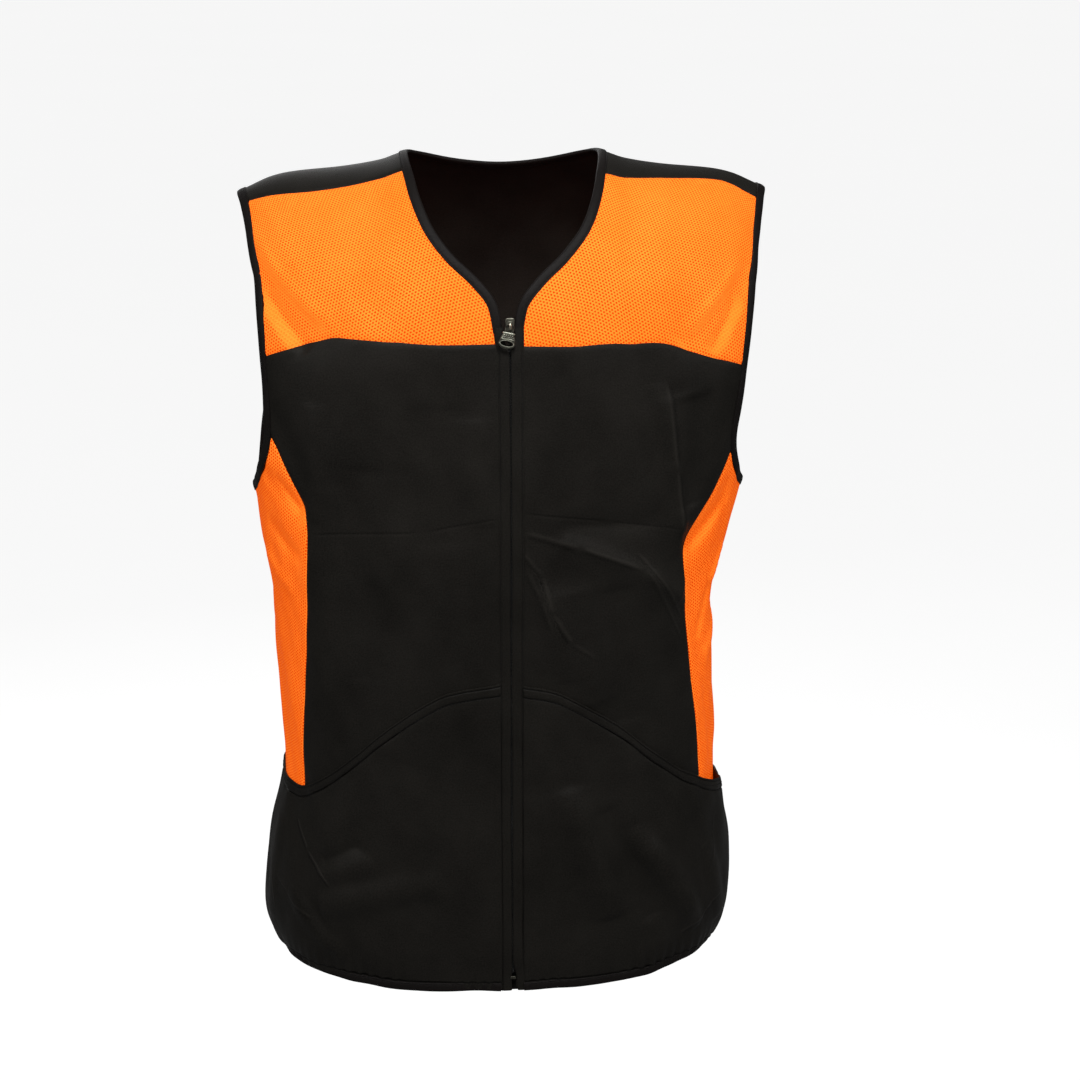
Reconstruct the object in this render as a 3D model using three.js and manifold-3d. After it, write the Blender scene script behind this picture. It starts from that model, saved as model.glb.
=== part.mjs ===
// Sleeveless vest with a front zip, in the shape it has when worn: mesh yokes and side panels,
// smooth fronts and back, curved patch pockets, and bound neck, armholes and hem.
// Millimetres, +Z up. The front faces -Y and the wearer's left side is +X.
// The origin lies between the two shoulder lines, level with the neck points.
import * as THREE from 'three';
import { mergeVertices } from 'three/addons/utils/BufferGeometryUtils.js';
import Module from 'manifold-3d';

// Cloth and trim
const CLOTH = 1.5;
const GAP = 0.3;
const BINDING_WIDTH = 8;
const BINDING_PROUD = 0.9;
const BINDING_ROUND = 1;
const BINDING_NOSE = 0.4;
const HEM_PROUD = 2.2;
const HALF_GAP = GAP / 2;
// Panels stop short of a curved binding by a little more, because their edges are made of chords
const EDGE_INSET = BINDING_WIDTH + 4 * GAP;
const HEM_INSET = BINDING_WIDTH + 3 * GAP;
// Half of the slit that the hem binding leaves open at the zip
const HEM_OPENING = 4;
const ARMHOLE_STEPS = 42;
const NECK_STEPS = 52;
const HEM_STEPS = 64;

// Body form
const ROLL = 160;
const SQUARENESS = 0.04;
const RIDGE_HALF_WIDTH = 226;
const SWAY_FADE = 60;

// Zip, counted sideways from the centre line and outwards from the cloth's face
const ZIP_TOP = -140.5;
const ZIP_FOOT = -689;
const PANEL_EDGE = 3.2;
const ZIP_STEP = 24;
const BAND = { inner: 0.8, outer: 9.5, lift: 0.3, thick: 1.4 };
const TAPE = { inner: 1, outer: 15, lift: -2.9, thick: 0.9 };
const CHAIN = { half: 2.9, lift: -1.45, thick: 1.3, top: -121.2, foot: -683 };
const STOP = { half: 2.9, lift: -1.7, thick: 1.7, top: -683.4, foot: -689.4 };
const SLIDER = {
  level: -123, half: 3.8, length: 12.5, plate: 1.7, front: 0.5, back: -4,
  post: 1.2, postLength: 3.6, postInset: 0.4,
};
const BAIL = { inner: 2.1, outer: 3.5, half: 1, clearance: 1.5, segments: 10 };
const PULL = {
  thick: 1.6, tilt: 12, bar: 0.8, eyeHalf: 2.3, armHalf: 3.4, eyeLength: 4.6, armLength: 5.2,
  collarHalf: 4.9, collarAt: 6.2, footHalf: 6.6, footRise: 4, footRound: 1, length: 18.6,
  slotHalf: 4.6, slotTop: 11.6, slotFoot: 16.6, slotSides: 16, segments: 8,
};

// Level rings of the body, from below the hem to above the shoulders.
// sway is the sideways shift of the ring's middle.
const RINGS = [
  { level: -760, halfWidth: 194, sway: -9, front: 125, back: 116 },
  { level: -700, halfWidth: 194, sway: -9, front: 125, back: 116 },
  { level: -640, halfWidth: 193, sway: -7, front: 124, back: 114 },
  { level: -570, halfWidth: 189, sway: -5, front: 122, back: 108 },
  { level: -500, halfWidth: 188, sway: -6, front: 121, back: 100 },
  { level: -440, halfWidth: 188, sway: -8, front: 122, back: 96 },
  { level: -384, halfWidth: 190, sway: -9, front: 124, back: 97 },
  { level: -330, halfWidth: 197, sway: -8, front: 126, back: 101 },
  { level: -280, halfWidth: 206, sway: -5, front: 127, back: 105 },
  { level: -240, halfWidth: 216, sway: -4, front: 127, back: 108 },
  { level: -180, halfWidth: 225, sway: -1, front: 125, back: 110 },
  { level: -110, halfWidth: 228, sway: 0, front: 121, back: 108 },
  { level: -40, halfWidth: 227, sway: 0, front: 116, back: 104 },
  { level: 40, halfWidth: 226, sway: 0, front: 112, back: 100 },
];

// Height of the shoulder line, from the middle of the neck to past the tip
const SHOULDER = [
  { across: 0, level: 2 },
  { across: 60, level: 2 },
  { across: 82, level: -1 },
  { across: 100, level: -7 },
  { across: 130, level: -12 },
  { across: 172, level: -16 },
  { across: 190, level: -20 },
  { across: 206, level: -27 },
  { across: 218, level: -33 },
  { across: 240, level: -44 },
];

// Main folds of the worn cloth: a ridge, or a furrow where height is below zero, along a line
// between two places given by ring angle and level. Each fold tapers over its outer quarters.
const FOLD_TAPER = 0.25;
const FOLDS = [
  { fromAngle: 72, fromLevel: -362, toAngle: 100, toLevel: -372, width: 22, height: -5 },
  { fromAngle: 61, fromLevel: -276, toAngle: 45, toLevel: -312, width: 13, height: -4 },
  { fromAngle: 33, fromLevel: -185, toAngle: 44, toLevel: -315, width: 14, height: 3.5 },
  { fromAngle: 12, fromLevel: -290, toAngle: 33, toLevel: -286, width: 12, height: -2.5 },
  { fromAngle: 12, fromLevel: -303, toAngle: 46, toLevel: -357, width: 14, height: 3 },
  { fromAngle: 14, fromLevel: -345, toAngle: 22, toLevel: -440, width: 16, height: 3 },
  { fromAngle: 54, fromLevel: -90, toAngle: 34, toLevel: -142, width: 15, height: -3 },
  { fromAngle: -58, fromLevel: -88, toAngle: -34, toLevel: -140, width: 15, height: -3 },
  { fromAngle: -62, fromLevel: -255, toAngle: -48, toLevel: -280, width: 12, height: -3 },
  { fromAngle: -42, fromLevel: -260, toAngle: -48, toLevel: -520, width: 22, height: 4 },
  { fromAngle: -80, fromLevel: -352, toAngle: -104, toLevel: -366, width: 20, height: -4 },
  { fromAngle: 150, fromLevel: -330, toAngle: 158, toLevel: -620, width: 34, height: 5 },
  { fromAngle: -152, fromLevel: -310, toAngle: -160, toLevel: -620, width: 36, height: 5 },
];

// Edges and seams of the wearer's left half, by ring angle and travel down from the shoulder line.
// Travel below zero lies behind the shoulder line, and the other half is its mirror image.
const NECK_EDGE = [
  { angle: 1.2, travel: 221 },
  { angle: 2.3, travel: 197 },
  { angle: 5.3, travel: 178 },
  { angle: 9.6, travel: 157 },
  { angle: 13, travel: 132 },
  { angle: 15.2, travel: 100 },
  { angle: 16.4, travel: 66 },
  { angle: 17.2, travel: 32 },
  { angle: 17.2, travel: -4 },
  { angle: 15.2, travel: -40 },
  { angle: 9, travel: -66 },
  { angle: 0, travel: -76 },
];
const ARMHOLE_FRONT = [
  { angle: 71, travel: 0 },
  { angle: 70.2, travel: 25 },
  { angle: 67, travel: 62 },
  { angle: 62.6, travel: 115 },
  { angle: 58.8, travel: 160 },
];
const ARMHOLE_FOOT = {
  left: [
    { angle: 56.6, travel: 200 },
    { angle: 55.4, travel: 240 },
    { angle: 55.4, travel: 272 },
    { angle: 56.6, travel: 293 },
    { angle: 61, travel: 309 },
    { angle: 67, travel: 319 },
    { angle: 77, travel: 327 },
    { angle: 90, travel: 331 },
  ],
  right: [
    { angle: 57, travel: 200 },
    { angle: 57, travel: 240 },
    { angle: 57.6, travel: 270 },
    { angle: 58.8, travel: 288 },
    { angle: 61.6, travel: 301 },
    { angle: 66.5, travel: 311 },
    { angle: 76, travel: 322.5 },
    { angle: 90, travel: 331 },
  ],
};
const ARMHOLE_BACK = [
  { angle: 77, travel: 324 },
  { angle: 67, travel: 304 },
  { angle: 60, travel: 272 },
  { angle: 56.4, travel: 230 },
  { angle: 55.6, travel: 180 },
  { angle: 58, travel: 125 },
  { angle: 65, travel: 62 },
  { angle: 70, travel: 25 },
  { angle: 71, travel: 0 },
];
const SHOULDER_SEAM = {
  left: [
    { angle: 12, travel: 66 },
    { angle: 20, travel: 62.5 },
    { angle: 24, travel: 56.5 },
    { angle: 30, travel: 48.5 },
    { angle: 37.5, travel: 43.5 },
    { angle: 46, travel: 42 },
    { angle: 52, travel: 47.5 },
    { angle: 56, travel: 52 },
    { angle: 64, travel: 55 },
    { angle: 72, travel: 55 },
  ],
  right: [
    { angle: 12, travel: 55 },
    { angle: 22, travel: 55.5 },
    { angle: 30, travel: 59.7 },
    { angle: 39, travel: 63.3 },
    { angle: 46, travel: 63 },
    { angle: 54, travel: 59 },
    { angle: 61, travel: 54.5 },
    { angle: 72, travel: 53 },
  ],
};
// The yoke seams differ a little: the right one rises more, the left one falls sooner towards the armhole
const YOKE_SEAM = {
  left: [
    { angle: 0, travel: 232 },
    { angle: 7.5, travel: 233 },
    { angle: 13, travel: 232.8 },
    { angle: 18.4, travel: 228.8 },
    { angle: 24.4, travel: 222.2 },
    { angle: 28, travel: 220.5 },
    { angle: 31.5, travel: 221.8 },
    { angle: 36, travel: 226.5 },
    { angle: 41, travel: 230.8 },
    { angle: 46, travel: 233.5 },
    { angle: 54, travel: 236 },
    { angle: 62, travel: 238 },
  ],
  right: [
    { angle: 0, travel: 230.5 },
    { angle: 11.4, travel: 231 },
    { angle: 17, travel: 228 },
    { angle: 23, travel: 219.2 },
    { angle: 29, travel: 214.2 },
    { angle: 33, travel: 212.2 },
    { angle: 37, travel: 214.2 },
    { angle: 43.6, travel: 218.5 },
    { angle: 50, travel: 221.8 },
    { angle: 62, travel: 225 },
  ],
};
// The front edge of the side panel springs from the armhole and falls to the hem
const SIDE_SEAM_FOOT = [
  { angle: 53, travel: 475 },
  { angle: 56.8, travel: 530 },
  { angle: 60.2, travel: 594 },
  { angle: 62, travel: 670 },
  { angle: 62, travel: 790 },
];
const SIDE_SEAM = {
  left: [
    { angle: 57.8, travel: 292.5 },
    { angle: 56.2, travel: 305.5 },
    { angle: 53, travel: 331.5 },
    { angle: 51.2, travel: 344.5 },
    { angle: 48.9, travel: 357.5 },
    { angle: 46.9, travel: 370.5 },
    { angle: 45.5, travel: 385 },
    { angle: 45.8, travel: 401 },
    { angle: 49, travel: 428 },
    ...SIDE_SEAM_FOOT,
  ],
  right: [
    { angle: 57.5, travel: 281 },
    { angle: 54, travel: 298 },
    { angle: 49.3, travel: 330 },
    { angle: 46.3, travel: 361 },
    { angle: 46.7, travel: 390 },
    { angle: 49.2, travel: 425 },
    ...SIDE_SEAM_FOOT,
  ],
};
const BACK_SEAM = { angle: 112, top: -240 };
// Levels that the upright paths run between, past the edges that they are cut at
const PATH_TOP = -80;
const POCKET_PATH_TOP = -380;
const PATH_FOOT = -720;

// Hem edge and pocket mouth, by ring angle and level
const HEM_EDGE = [
  { angle: 0, level: -699 },
  { angle: 20, level: -698 },
  { angle: 40, level: -694 },
  { angle: 60, level: -689 },
  { angle: 90, level: -686 },
  { angle: 120, level: -689 },
  { angle: 150, level: -693 },
  { angle: 180, level: -695 },
];
const POCKET_MOUTH = [
  { angle: 0, level: -421.5 },
  { angle: 11.3, level: -429 },
  { angle: 16.8, level: -439 },
  { angle: 22.8, level: -453 },
  { angle: 29.4, level: -470 },
  { angle: 36, level: -488 },
  { angle: 43.5, level: -505 },
  { angle: 51, level: -518 },
];
const POCKET_MOUTH_AT_HIP = {
  left: [
    { angle: 60, level: -530 },
    { angle: 72, level: -540 },
    { angle: 84, level: -547 },
    { angle: 100, level: -549 },
    { angle: 116, level: -546 },
  ],
  right: [
    { angle: 60, level: -529 },
    { angle: 72, level: -531 },
    { angle: 90, level: -531 },
    { angle: 116, level: -531 },
  ],
};

// How far the pocket bellies off the cloth behind it: a share round the body times a height
const POCKET_SPREAD = [
  { angle: 0, share: 0 },
  { angle: 15, share: 0.12 },
  { angle: 30, share: 0.28 },
  { angle: 45, share: 0.5 },
  { angle: 60, share: 0.8 },
  { angle: 75, share: 1 },
  { angle: 92, share: 1 },
  { angle: 104, share: 0.6 },
  { angle: BACK_SEAM.angle, share: 0 },
];
const POCKET_BELLY = [
  { level: -691, lift: 0 },
  { level: -670, lift: 8 },
  { level: -645, lift: 10.5 },
  { level: -605, lift: 10.5 },
  { level: -570, lift: 9.5 },
  { level: -535, lift: 8.5 },
  { level: -480, lift: 4 },
  { level: -420, lift: 2.5 },
];
const POCKET_SEAT = 0.9;

// Chart of the cloth: degrees round the ring are counted as lengths, so that steps look even
const DEGREE = 3;
const SAMPLES = 80;

const fabric = (color, roughness) => new THREE.MeshStandardMaterial({ color, roughness, metalness: 0 });
const MATERIALS = {
  mesh: fabric(0xf9822a, 0.85),
  smooth: fabric(0x1a1918, 0.72),
  binding: fabric(0x1e1b19, 0.6),
  tape: fabric(0x141312, 0.8),
  metal: new THREE.MeshStandardMaterial({ color: 0x6f716a, roughness: 0.35, metalness: 1 }),
  moulded: fabric(0x171717, 0.4),
};

const vest = new THREE.Group();

// Value of a column at a place in a table sorted by its key, on a cubic through the rows
function lookUp(rows, key, column, place) {
  const last = rows.length - 1;
  const slope = (index) => {
    const before = rows[Math.max(index - 1, 0)];
    const after = rows[Math.min(index + 1, last)];
    return (after[column] - before[column]) / (after[key] - before[key]);
  };
  let i = 0;
  while (i < last - 1 && rows[i + 1][key] < place) {
    i += 1;
  }
  const span = rows[i + 1][key] - rows[i][key];
  const s = THREE.MathUtils.clamp((place - rows[i][key]) / span, 0, 1);
  const ease = s * s * (3 - 2 * s);
  const start = s * (1 - s) * (1 - s) * span * slope(i);
  const end = s * s * (s - 1) * span * slope(i + 1);
  return rows[i][column] * (1 - ease) + rows[i + 1][column] * ease + start + end;
}

// Shares of the half width and of the depth at an angle round a ring, 0 at the front
function ring(angle) {
  const a = THREE.MathUtils.degToRad(angle);
  const whole = 1 - SQUARENESS;
  return {
    across: (Math.sin(a) + SQUARENESS * Math.sin(3 * a)) / whole,
    ahead: (Math.cos(a) - SQUARENESS * Math.cos(3 * a)) / whole,
  };
}

const ridgeLevel = (across) => lookUp(SHOULDER, 'across', 'level', Math.abs(across) * RIDGE_HALF_WIDTH);

// Travel down from the shoulder line that reaches a level at an angle
function travelAt(angle, level) {
  const drop = Math.max(ridgeLevel(ring(angle).across) - level, 0);
  const quarter = ROLL * Math.PI / 2;
  return drop < ROLL ? ROLL * Math.acos(1 - drop / ROLL) : quarter + drop - ROLL;
}

// Height of all folds at a place
function foldHeight(angle, level) {
  let height = 0;
  for (const fold of FOLDS) {
    const run = new THREE.Vector2((fold.toAngle - fold.fromAngle) * DEGREE, fold.toLevel - fold.fromLevel);
    const here = new THREE.Vector2((angle - fold.fromAngle) * DEGREE, level - fold.fromLevel);
    const length = run.length();
    const along = here.dot(run) / length;
    const aside = here.cross(run) / length;
    const taper = FOLD_TAPER * Math.max(0, Math.abs(along - length / 2) - length / 4);
    const past = Math.max(-along, along - length, 0) + taper;
    height += fold.height * Math.exp(-(aside * aside + 2 * past * past) / (fold.width * fold.width));
  }
  return height;
}

// Point of the cloth's outer face at a place of the chart
function surface(place) {
  const behind = place.y < 0;
  const shown = place.x / DEGREE;
  const angle = behind ? (shown < 0 ? -180 : 180) - shown : shown;
  const travel = Math.abs(place.y);
  const { across, ahead } = ring(angle);
  const roll = Math.min(travel / ROLL, Math.PI / 2);
  const drop = ROLL * (1 - Math.cos(roll)) + Math.max(travel - ROLL * Math.PI / 2, 0);
  const level = ridgeLevel(across) - drop;
  const halfWidth = lookUp(RINGS, 'level', 'halfWidth', level);
  const sway = lookUp(RINGS, 'level', 'sway', level) * Math.min(travel / SWAY_FADE, 1);
  const depth = lookUp(RINGS, 'level', ahead > 0 ? 'front' : 'back', level) * Math.sin(roll);
  const out = new THREE.Vector2(across * depth, -ahead * halfWidth).normalize();
  const turned = ((angle + 540) % 360) - 180;
  const fold = foldHeight(turned, level) * Math.sin(roll);
  return new THREE.Vector3(across * halfWidth + sway + out.x * fold, -ahead * depth + out.y * fold, level);
}

// Unit vectors and lengths of the chart's two directions on the cloth, and the outward normal
function frameAt(place) {
  const step = 1;
  const shift = (x, y) => surface(new THREE.Vector2(place.x + x, place.y + y));
  const around = shift(step, 0).sub(shift(-step, 0)).divideScalar(2 * step);
  const down = shift(0, step).sub(shift(0, -step)).divideScalar(2 * step);
  const normal = new THREE.Vector3().crossVectors(down, around).normalize();
  return { around, down, normal };
}

const chart = (angle, travel) => new THREE.Vector2(angle * DEGREE, travel);

// A path on the chart is a function from 0 to 1
function pathThrough(points) {
  const spline = new THREE.SplineCurve(points);
  return (s) => spline.getPointAt(THREE.MathUtils.clamp(s, 0, 1));
}

// Path round the body whose level is looked up in a table of angles
function levelPath(rows, side) {
  const points = [];
  const start = rows[0].angle;
  const end = rows[rows.length - 1].angle;
  for (let i = 0; i <= SAMPLES; i += 1) {
    const angle = start + (end - start) * i / SAMPLES;
    points.push(chart(side * angle, travelAt(angle, lookUp(rows, 'angle', 'level', angle))));
  }
  return pathThrough(points);
}

function part(path, from, to) {
  return (s) => path(from + (to - from) * s);
}

function moved(path, angle, travel) {
  return (s) => path(s).add(chart(angle, travel));
}

// Two paths end to end, with the parameter shared out by a count of steps on each
function joined(first, firstSteps, second, secondSteps) {
  const share = firstSteps / (firstSteps + secondSteps);
  return (s) => (s < share ? first(s / share) : second((s - share) / (1 - share)));
}

// The same path told from behind: the far side of the ring becomes travel over the shoulder
function fromBehind(path, side) {
  return (s) => {
    const place = path(s);
    return new THREE.Vector2(side * 180 * DEGREE - place.x, -place.y);
  };
}

// A path moved sideways over the cloth by a real distance
function inset(path, distance) {
  const points = [];
  for (let i = 0; i <= SAMPLES; i += 1) {
    const s = i / SAMPLES;
    const place = path(s);
    const run = path(s + 0.5 / SAMPLES).sub(path(s - 0.5 / SAMPLES));
    const { around, down, normal } = frameAt(place);
    const along = around.clone().multiplyScalar(run.x).addScaledVector(down, run.y);
    const aside = along.cross(normal).normalize().multiplyScalar(distance);
    const a = around.dot(around);
    const b = around.dot(down);
    const c = down.dot(down);
    const p = aside.dot(around);
    const q = aside.dot(down);
    const whole = a * c - b * b;
    points.push(place.add(new THREE.Vector2((p * c - q * b) / whole, (q * a - p * b) / whole)));
  }
  return pathThrough(points);
}

// Parameters at which two paths come closest
function meet(first, second) {
  const steps = 20;
  let found = [0.5, 0.5];
  for (let window = 0.5; window > 1e-5; window /= 6) {
    let nearest = Infinity;
    let best = found;
    for (let i = -steps; i <= steps; i += 1) {
      const a = THREE.MathUtils.clamp(found[0] + window * i / steps, 0, 1);
      const place = first(a);
      for (let j = -steps; j <= steps; j += 1) {
        const b = THREE.MathUtils.clamp(found[1] + window * j / steps, 0, 1);
        const distance = place.distanceToSquared(second(b));
        if (distance < nearest) {
          nearest = distance;
          best = [a, b];
        }
      }
    }
    found = best;
  }
  return found;
}

// Grid of places between four bounding paths: top and bottom run from inner to outer
function patch({ top, bottom, inner, outer }, columns, rows) {
  const corners = [inner(0), outer(0), inner(1), outer(1)];
  const snapped = (path, start, end) => (s) => path(s)
    .addScaledVector(start.clone().sub(path(0)), 1 - s)
    .addScaledVector(end.clone().sub(path(1)), s);
  const head = snapped(top, corners[0], corners[1]);
  const foot = snapped(bottom, corners[2], corners[3]);
  const near = snapped(inner, corners[0], corners[2]);
  const far = snapped(outer, corners[1], corners[3]);
  const grid = [];
  for (let j = 0; j <= rows; j += 1) {
    const v = j / rows;
    const line = [];
    for (let i = 0; i <= columns; i += 1) {
      const u = i / columns;
      const place = new THREE.Vector2()
        .addScaledVector(head(u), 1 - v).addScaledVector(foot(u), v)
        .addScaledVector(near(v), 1 - u).addScaledVector(far(v), u)
        .addScaledVector(corners[0], -(1 - u) * (1 - v)).addScaledVector(corners[1], -u * (1 - v))
        .addScaledVector(corners[2], -(1 - u) * v).addScaledVector(corners[3], -u * v);
      line.push(place);
    }
    grid.push(line);
  }
  return grid;
}

// Closed geometry from points and triangles, turned so that its faces point out
function closedGeometry(points, triangles) {
  let volume = 0;
  for (const [a, b, c] of triangles) {
    volume += points[a].dot(new THREE.Vector3().crossVectors(points[b], points[c]));
  }
  const turned = volume < 0 ? triangles.map(([a, b, c]) => [a, c, b]) : triangles;
  const geometry = new THREE.BufferGeometry().setFromPoints(points);
  geometry.setIndex(turned.flat());
  geometry.computeVertexNormals();
  return geometry;
}

function addMesh(name, geometry, material, parent = vest) {
  const mesh = new THREE.Mesh(geometry, material);
  mesh.name = name;
  parent.add(mesh);
  return mesh;
}

// Cloth wall over one or more grids of places that share edges. The lower face stands off the
// body's face by lift, and the upper face by lift and thickness.
function clothGeometry(grids, lift, thickness) {
  const known = new Map();
  const lower = [];
  const upper = [];
  const pointAt = (place) => {
    const base = surface(place);
    const key = base.toArray().map((value) => value.toFixed(3)).join();
    if (!known.has(key)) {
      const { normal } = frameAt(place);
      const height = typeof lift === 'function' ? lift(place) : lift;
      known.set(key, lower.length);
      lower.push(base.clone().addScaledVector(normal, height));
      upper.push(base.clone().addScaledVector(normal, height + thickness));
    }
    return known.get(key);
  };
  const faces = [];
  for (const grid of grids) {
    for (let j = 0; j + 1 < grid.length; j += 1) {
      for (let i = 0; i + 1 < grid[j].length; i += 1) {
        const [a, b] = [pointAt(grid[j][i]), pointAt(grid[j][i + 1])];
        const [c, d] = [pointAt(grid[j + 1][i]), pointAt(grid[j + 1][i + 1])];
        const along = upper[a].distanceTo(upper[d]) < upper[b].distanceTo(upper[c]);
        const flipped = grid[j][i].x > grid[j][i + 1].x;
        const cell = along ? [[a, c, d], [a, d, b]] : [[a, c, b], [b, c, d]];
        faces.push(...cell.map(([p, q, r]) => (flipped ? [p, r, q] : [p, q, r])));
      }
    }
  }
  const edges = new Map();
  for (const face of faces) {
    face.forEach((from, i) => {
      const to = face[(i + 1) % 3];
      if (!edges.delete(`${to},${from}`)) {
        edges.set(`${from},${to}`, [from, to]);
      }
    });
  }
  const count = lower.length;
  const triangles = [...faces, ...faces.map(([a, b, c]) => [a + count, c + count, b + count])];
  for (const [from, to] of edges.values()) {
    triangles.push([to, from, from + count], [to, from + count, to + count]);
  }
  return closedGeometry([...upper, ...lower], triangles);
}

// Solid strip along a path: its section is given by distances inwards from the path and out of
// the cloth. A closed strip joins its end to its start.
function stripGeometry(path, section, steps, closed, turn) {
  const stations = closed ? steps : steps + 1;
  const places = Array.from({ length: stations }, (_, i) => path(i / steps));
  const spots = places.map((place) => ({ point: surface(place), normal: frameAt(place).normal }));
  const points = [];
  spots.forEach(({ point, normal }, i) => {
    const before = spots[closed ? (i + stations - 1) % stations : Math.max(i - 1, 0)].point;
    const after = spots[closed ? (i + 1) % stations : Math.min(i + 1, stations - 1)].point;
    const along = after.clone().sub(before);
    const inwards = along.cross(normal).normalize().multiplyScalar(turn);
    for (const [aside, out] of section) {
      points.push(point.clone().addScaledVector(inwards, aside).addScaledVector(normal, out));
    }
  });
  const corners = section.length;
  const triangles = [];
  for (let i = 0; i < steps; i += 1) {
    const here = i * corners;
    const next = ((i + 1) % stations) * corners;
    for (let k = 0; k < corners; k += 1) {
      const l = (k + 1) % corners;
      triangles.push([here + k, next + k, next + l], [here + k, next + l, here + l]);
    }
  }
  if (!closed) {
    const end = (stations - 1) * corners;
    for (let k = 1; k + 1 < corners; k += 1) {
      triangles.push([0, k, k + 1], [end, end + k + 1, end + k]);
    }
  }
  return closedGeometry(points, triangles);
}

// Section of a binding folded round a cloth edge, with its turned edge rounded by slopes
function bindingSection(proud) {
  const middle = -CLOTH / 2;
  const nose = BINDING_NOSE * proud;
  return [
    [0, middle - nose], [BINDING_ROUND, -CLOTH - proud], [BINDING_WIDTH, -CLOTH - proud],
    [BINDING_WIDTH, proud], [BINDING_ROUND, proud], [0, middle + nose],
  ];
}

// Path down the front at a fixed distance sideways from the centre line
function plumbPath(aside, top, foot) {
  const points = [];
  for (let i = 0; i <= SAMPLES; i += 1) {
    const level = top + (foot - top) * i / SAMPLES;
    const sway = lookUp(RINGS, 'level', 'sway', level);
    const across = (aside - sway) / lookUp(RINGS, 'level', 'halfWidth', level);
    const angle = THREE.MathUtils.radToDeg(across * (1 - SQUARENESS) / (1 + 3 * SQUARENESS));
    points.push(chart(angle, travelAt(angle, level)));
  }
  return pathThrough(points);
}

// Neck and hem edges run right round, from the zip on the wearer's left to the zip on the right
const mirrored = (rows) => rows.slice(0, -1).reverse().map((row) => ({ ...row, angle: -row.angle }));
const neckRows = [...NECK_EDGE, ...mirrored(NECK_EDGE)];
const neckLoop = pathThrough(neckRows.map(({ angle, travel }) => chart(angle, travel)));
const hemRows = [...HEM_EDGE, ...mirrored(HEM_EDGE).map((row) => ({ ...row, angle: row.angle + 360 }))];
const hemLoop = levelPath(hemRows, 1);
const neckInner = inset(neckLoop, EDGE_INSET);
const hemInner = inset(hemLoop, -HEM_INSET);
const spine = pathThrough([chart(0, neckInner(0.5).y), chart(0, -hemInner(0.5).y)]);

// Hem edge from one side of the zip right round to the other, carried a little past its own start,
// because the body sways and the zip's line doesn't
function hemBindingPath() {
  const past = { ...HEM_EDGE[1], angle: HEM_EDGE[1].angle + 360 };
  const edge = levelPath([...hemRows, past], 1);
  const [start] = meet(part(edge, 0, 0.25), plumbPath(HEM_OPENING, POCKET_PATH_TOP, PATH_FOOT));
  const farQuarter = moved(part(edge, 0.75, 1), -360, 0);
  const [end] = meet(farQuarter, plumbPath(-HEM_OPENING, POCKET_PATH_TOP, PATH_FOOT));
  return part(edge, start / 4, 0.75 + end / 4);
}

// All bounding paths of one half, with side +1 for the wearer's left and -1 for the right
function pathsOf(side) {
  const half = side > 0 ? "left" : "right";
  const places = (rows) => rows.map(({ angle, travel }) => chart(side * angle, travel));
  const farSide = ARMHOLE_BACK.map(({ angle, travel }) => chart(side * (180 - angle), travel));
  const overBack = ARMHOLE_BACK.map(({ angle, travel }) => chart(side * angle, -travel)).reverse();
  const nearRidge = places(ARMHOLE_FRONT.slice(1, 4)).reverse();
  const armhole = pathThrough([...places([...ARMHOLE_FRONT, ...ARMHOLE_FOOT[half]]), ...farSide]);
  const armholeBehind = pathThrough([...nearRidge, ...overBack]);
  const seamEnds = [BACK_SEAM.top, PATH_FOOT].map((level) => travelAt(BACK_SEAM.angle, level));
  const hemHalf = side > 0 ? part(hemInner, 0, 0.5) : moved(part(hemInner, 1, 0.5), -360, 0);
  return {
    armhole,
    neck: side > 0 ? part(neckInner, 0, 0.5) : part(neckInner, 1, 0.5),
    armholeInner: inset(armhole, side * EDGE_INSET),
    armholeInnerBehind: inset(armholeBehind, -side * EDGE_INSET),
    hem: hemHalf,
    shoulder: pathThrough(places(SHOULDER_SEAM[half])),
    yoke: pathThrough(places(YOKE_SEAM[half])),
    sideSeam: pathThrough(places(SIDE_SEAM[half])),
    backSeam: pathThrough(seamEnds.map((travel) => chart(side * BACK_SEAM.angle, travel))),
    mouth: levelPath([...POCKET_MOUTH, ...POCKET_MOUTH_AT_HIP[half]], side),
    zip: plumbPath(side * PANEL_EDGE, PATH_TOP, PATH_FOOT),
    bandEdge: plumbPath(side * (BAND.outer + GAP), POCKET_PATH_TOP, PATH_FOOT),
  };
}

// Steps of the grids, shared by pieces that meet along a seam
const ACROSS = 9;
const SIDE_COLUMNS = 9;
const YOKE_ROWS = 9;
const ARMPIT_ROWS = 5;
const SEAM_ROWS = 18;
const BACK_ARMHOLE_ROWS = 15;
const NECK_ROWS = 9;
const POCKET_COLUMNS = 16;
const POCKET_ROWS = 9;

function yokeGrid({ shoulder, yoke, neck, armholeInner }, side) {
  const top = inset(shoulder, side * HALF_GAP);
  const bottom = inset(yoke, -side * HALF_GAP);
  const armhole = part(armholeInner, 0, 0.5);
  const [topIn, neckTop] = meet(top, neck);
  const [topOut, armTop] = meet(top, armhole);
  const [footIn, neckFoot] = meet(bottom, neck);
  const [footOut, armFoot] = meet(bottom, armhole);
  return patch({
    top: part(top, topIn, topOut),
    bottom: part(bottom, footIn, footOut),
    inner: part(neck, neckTop, neckFoot),
    outer: part(armhole, armTop, armFoot),
  }, ACROSS, YOKE_ROWS);
}

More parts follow.
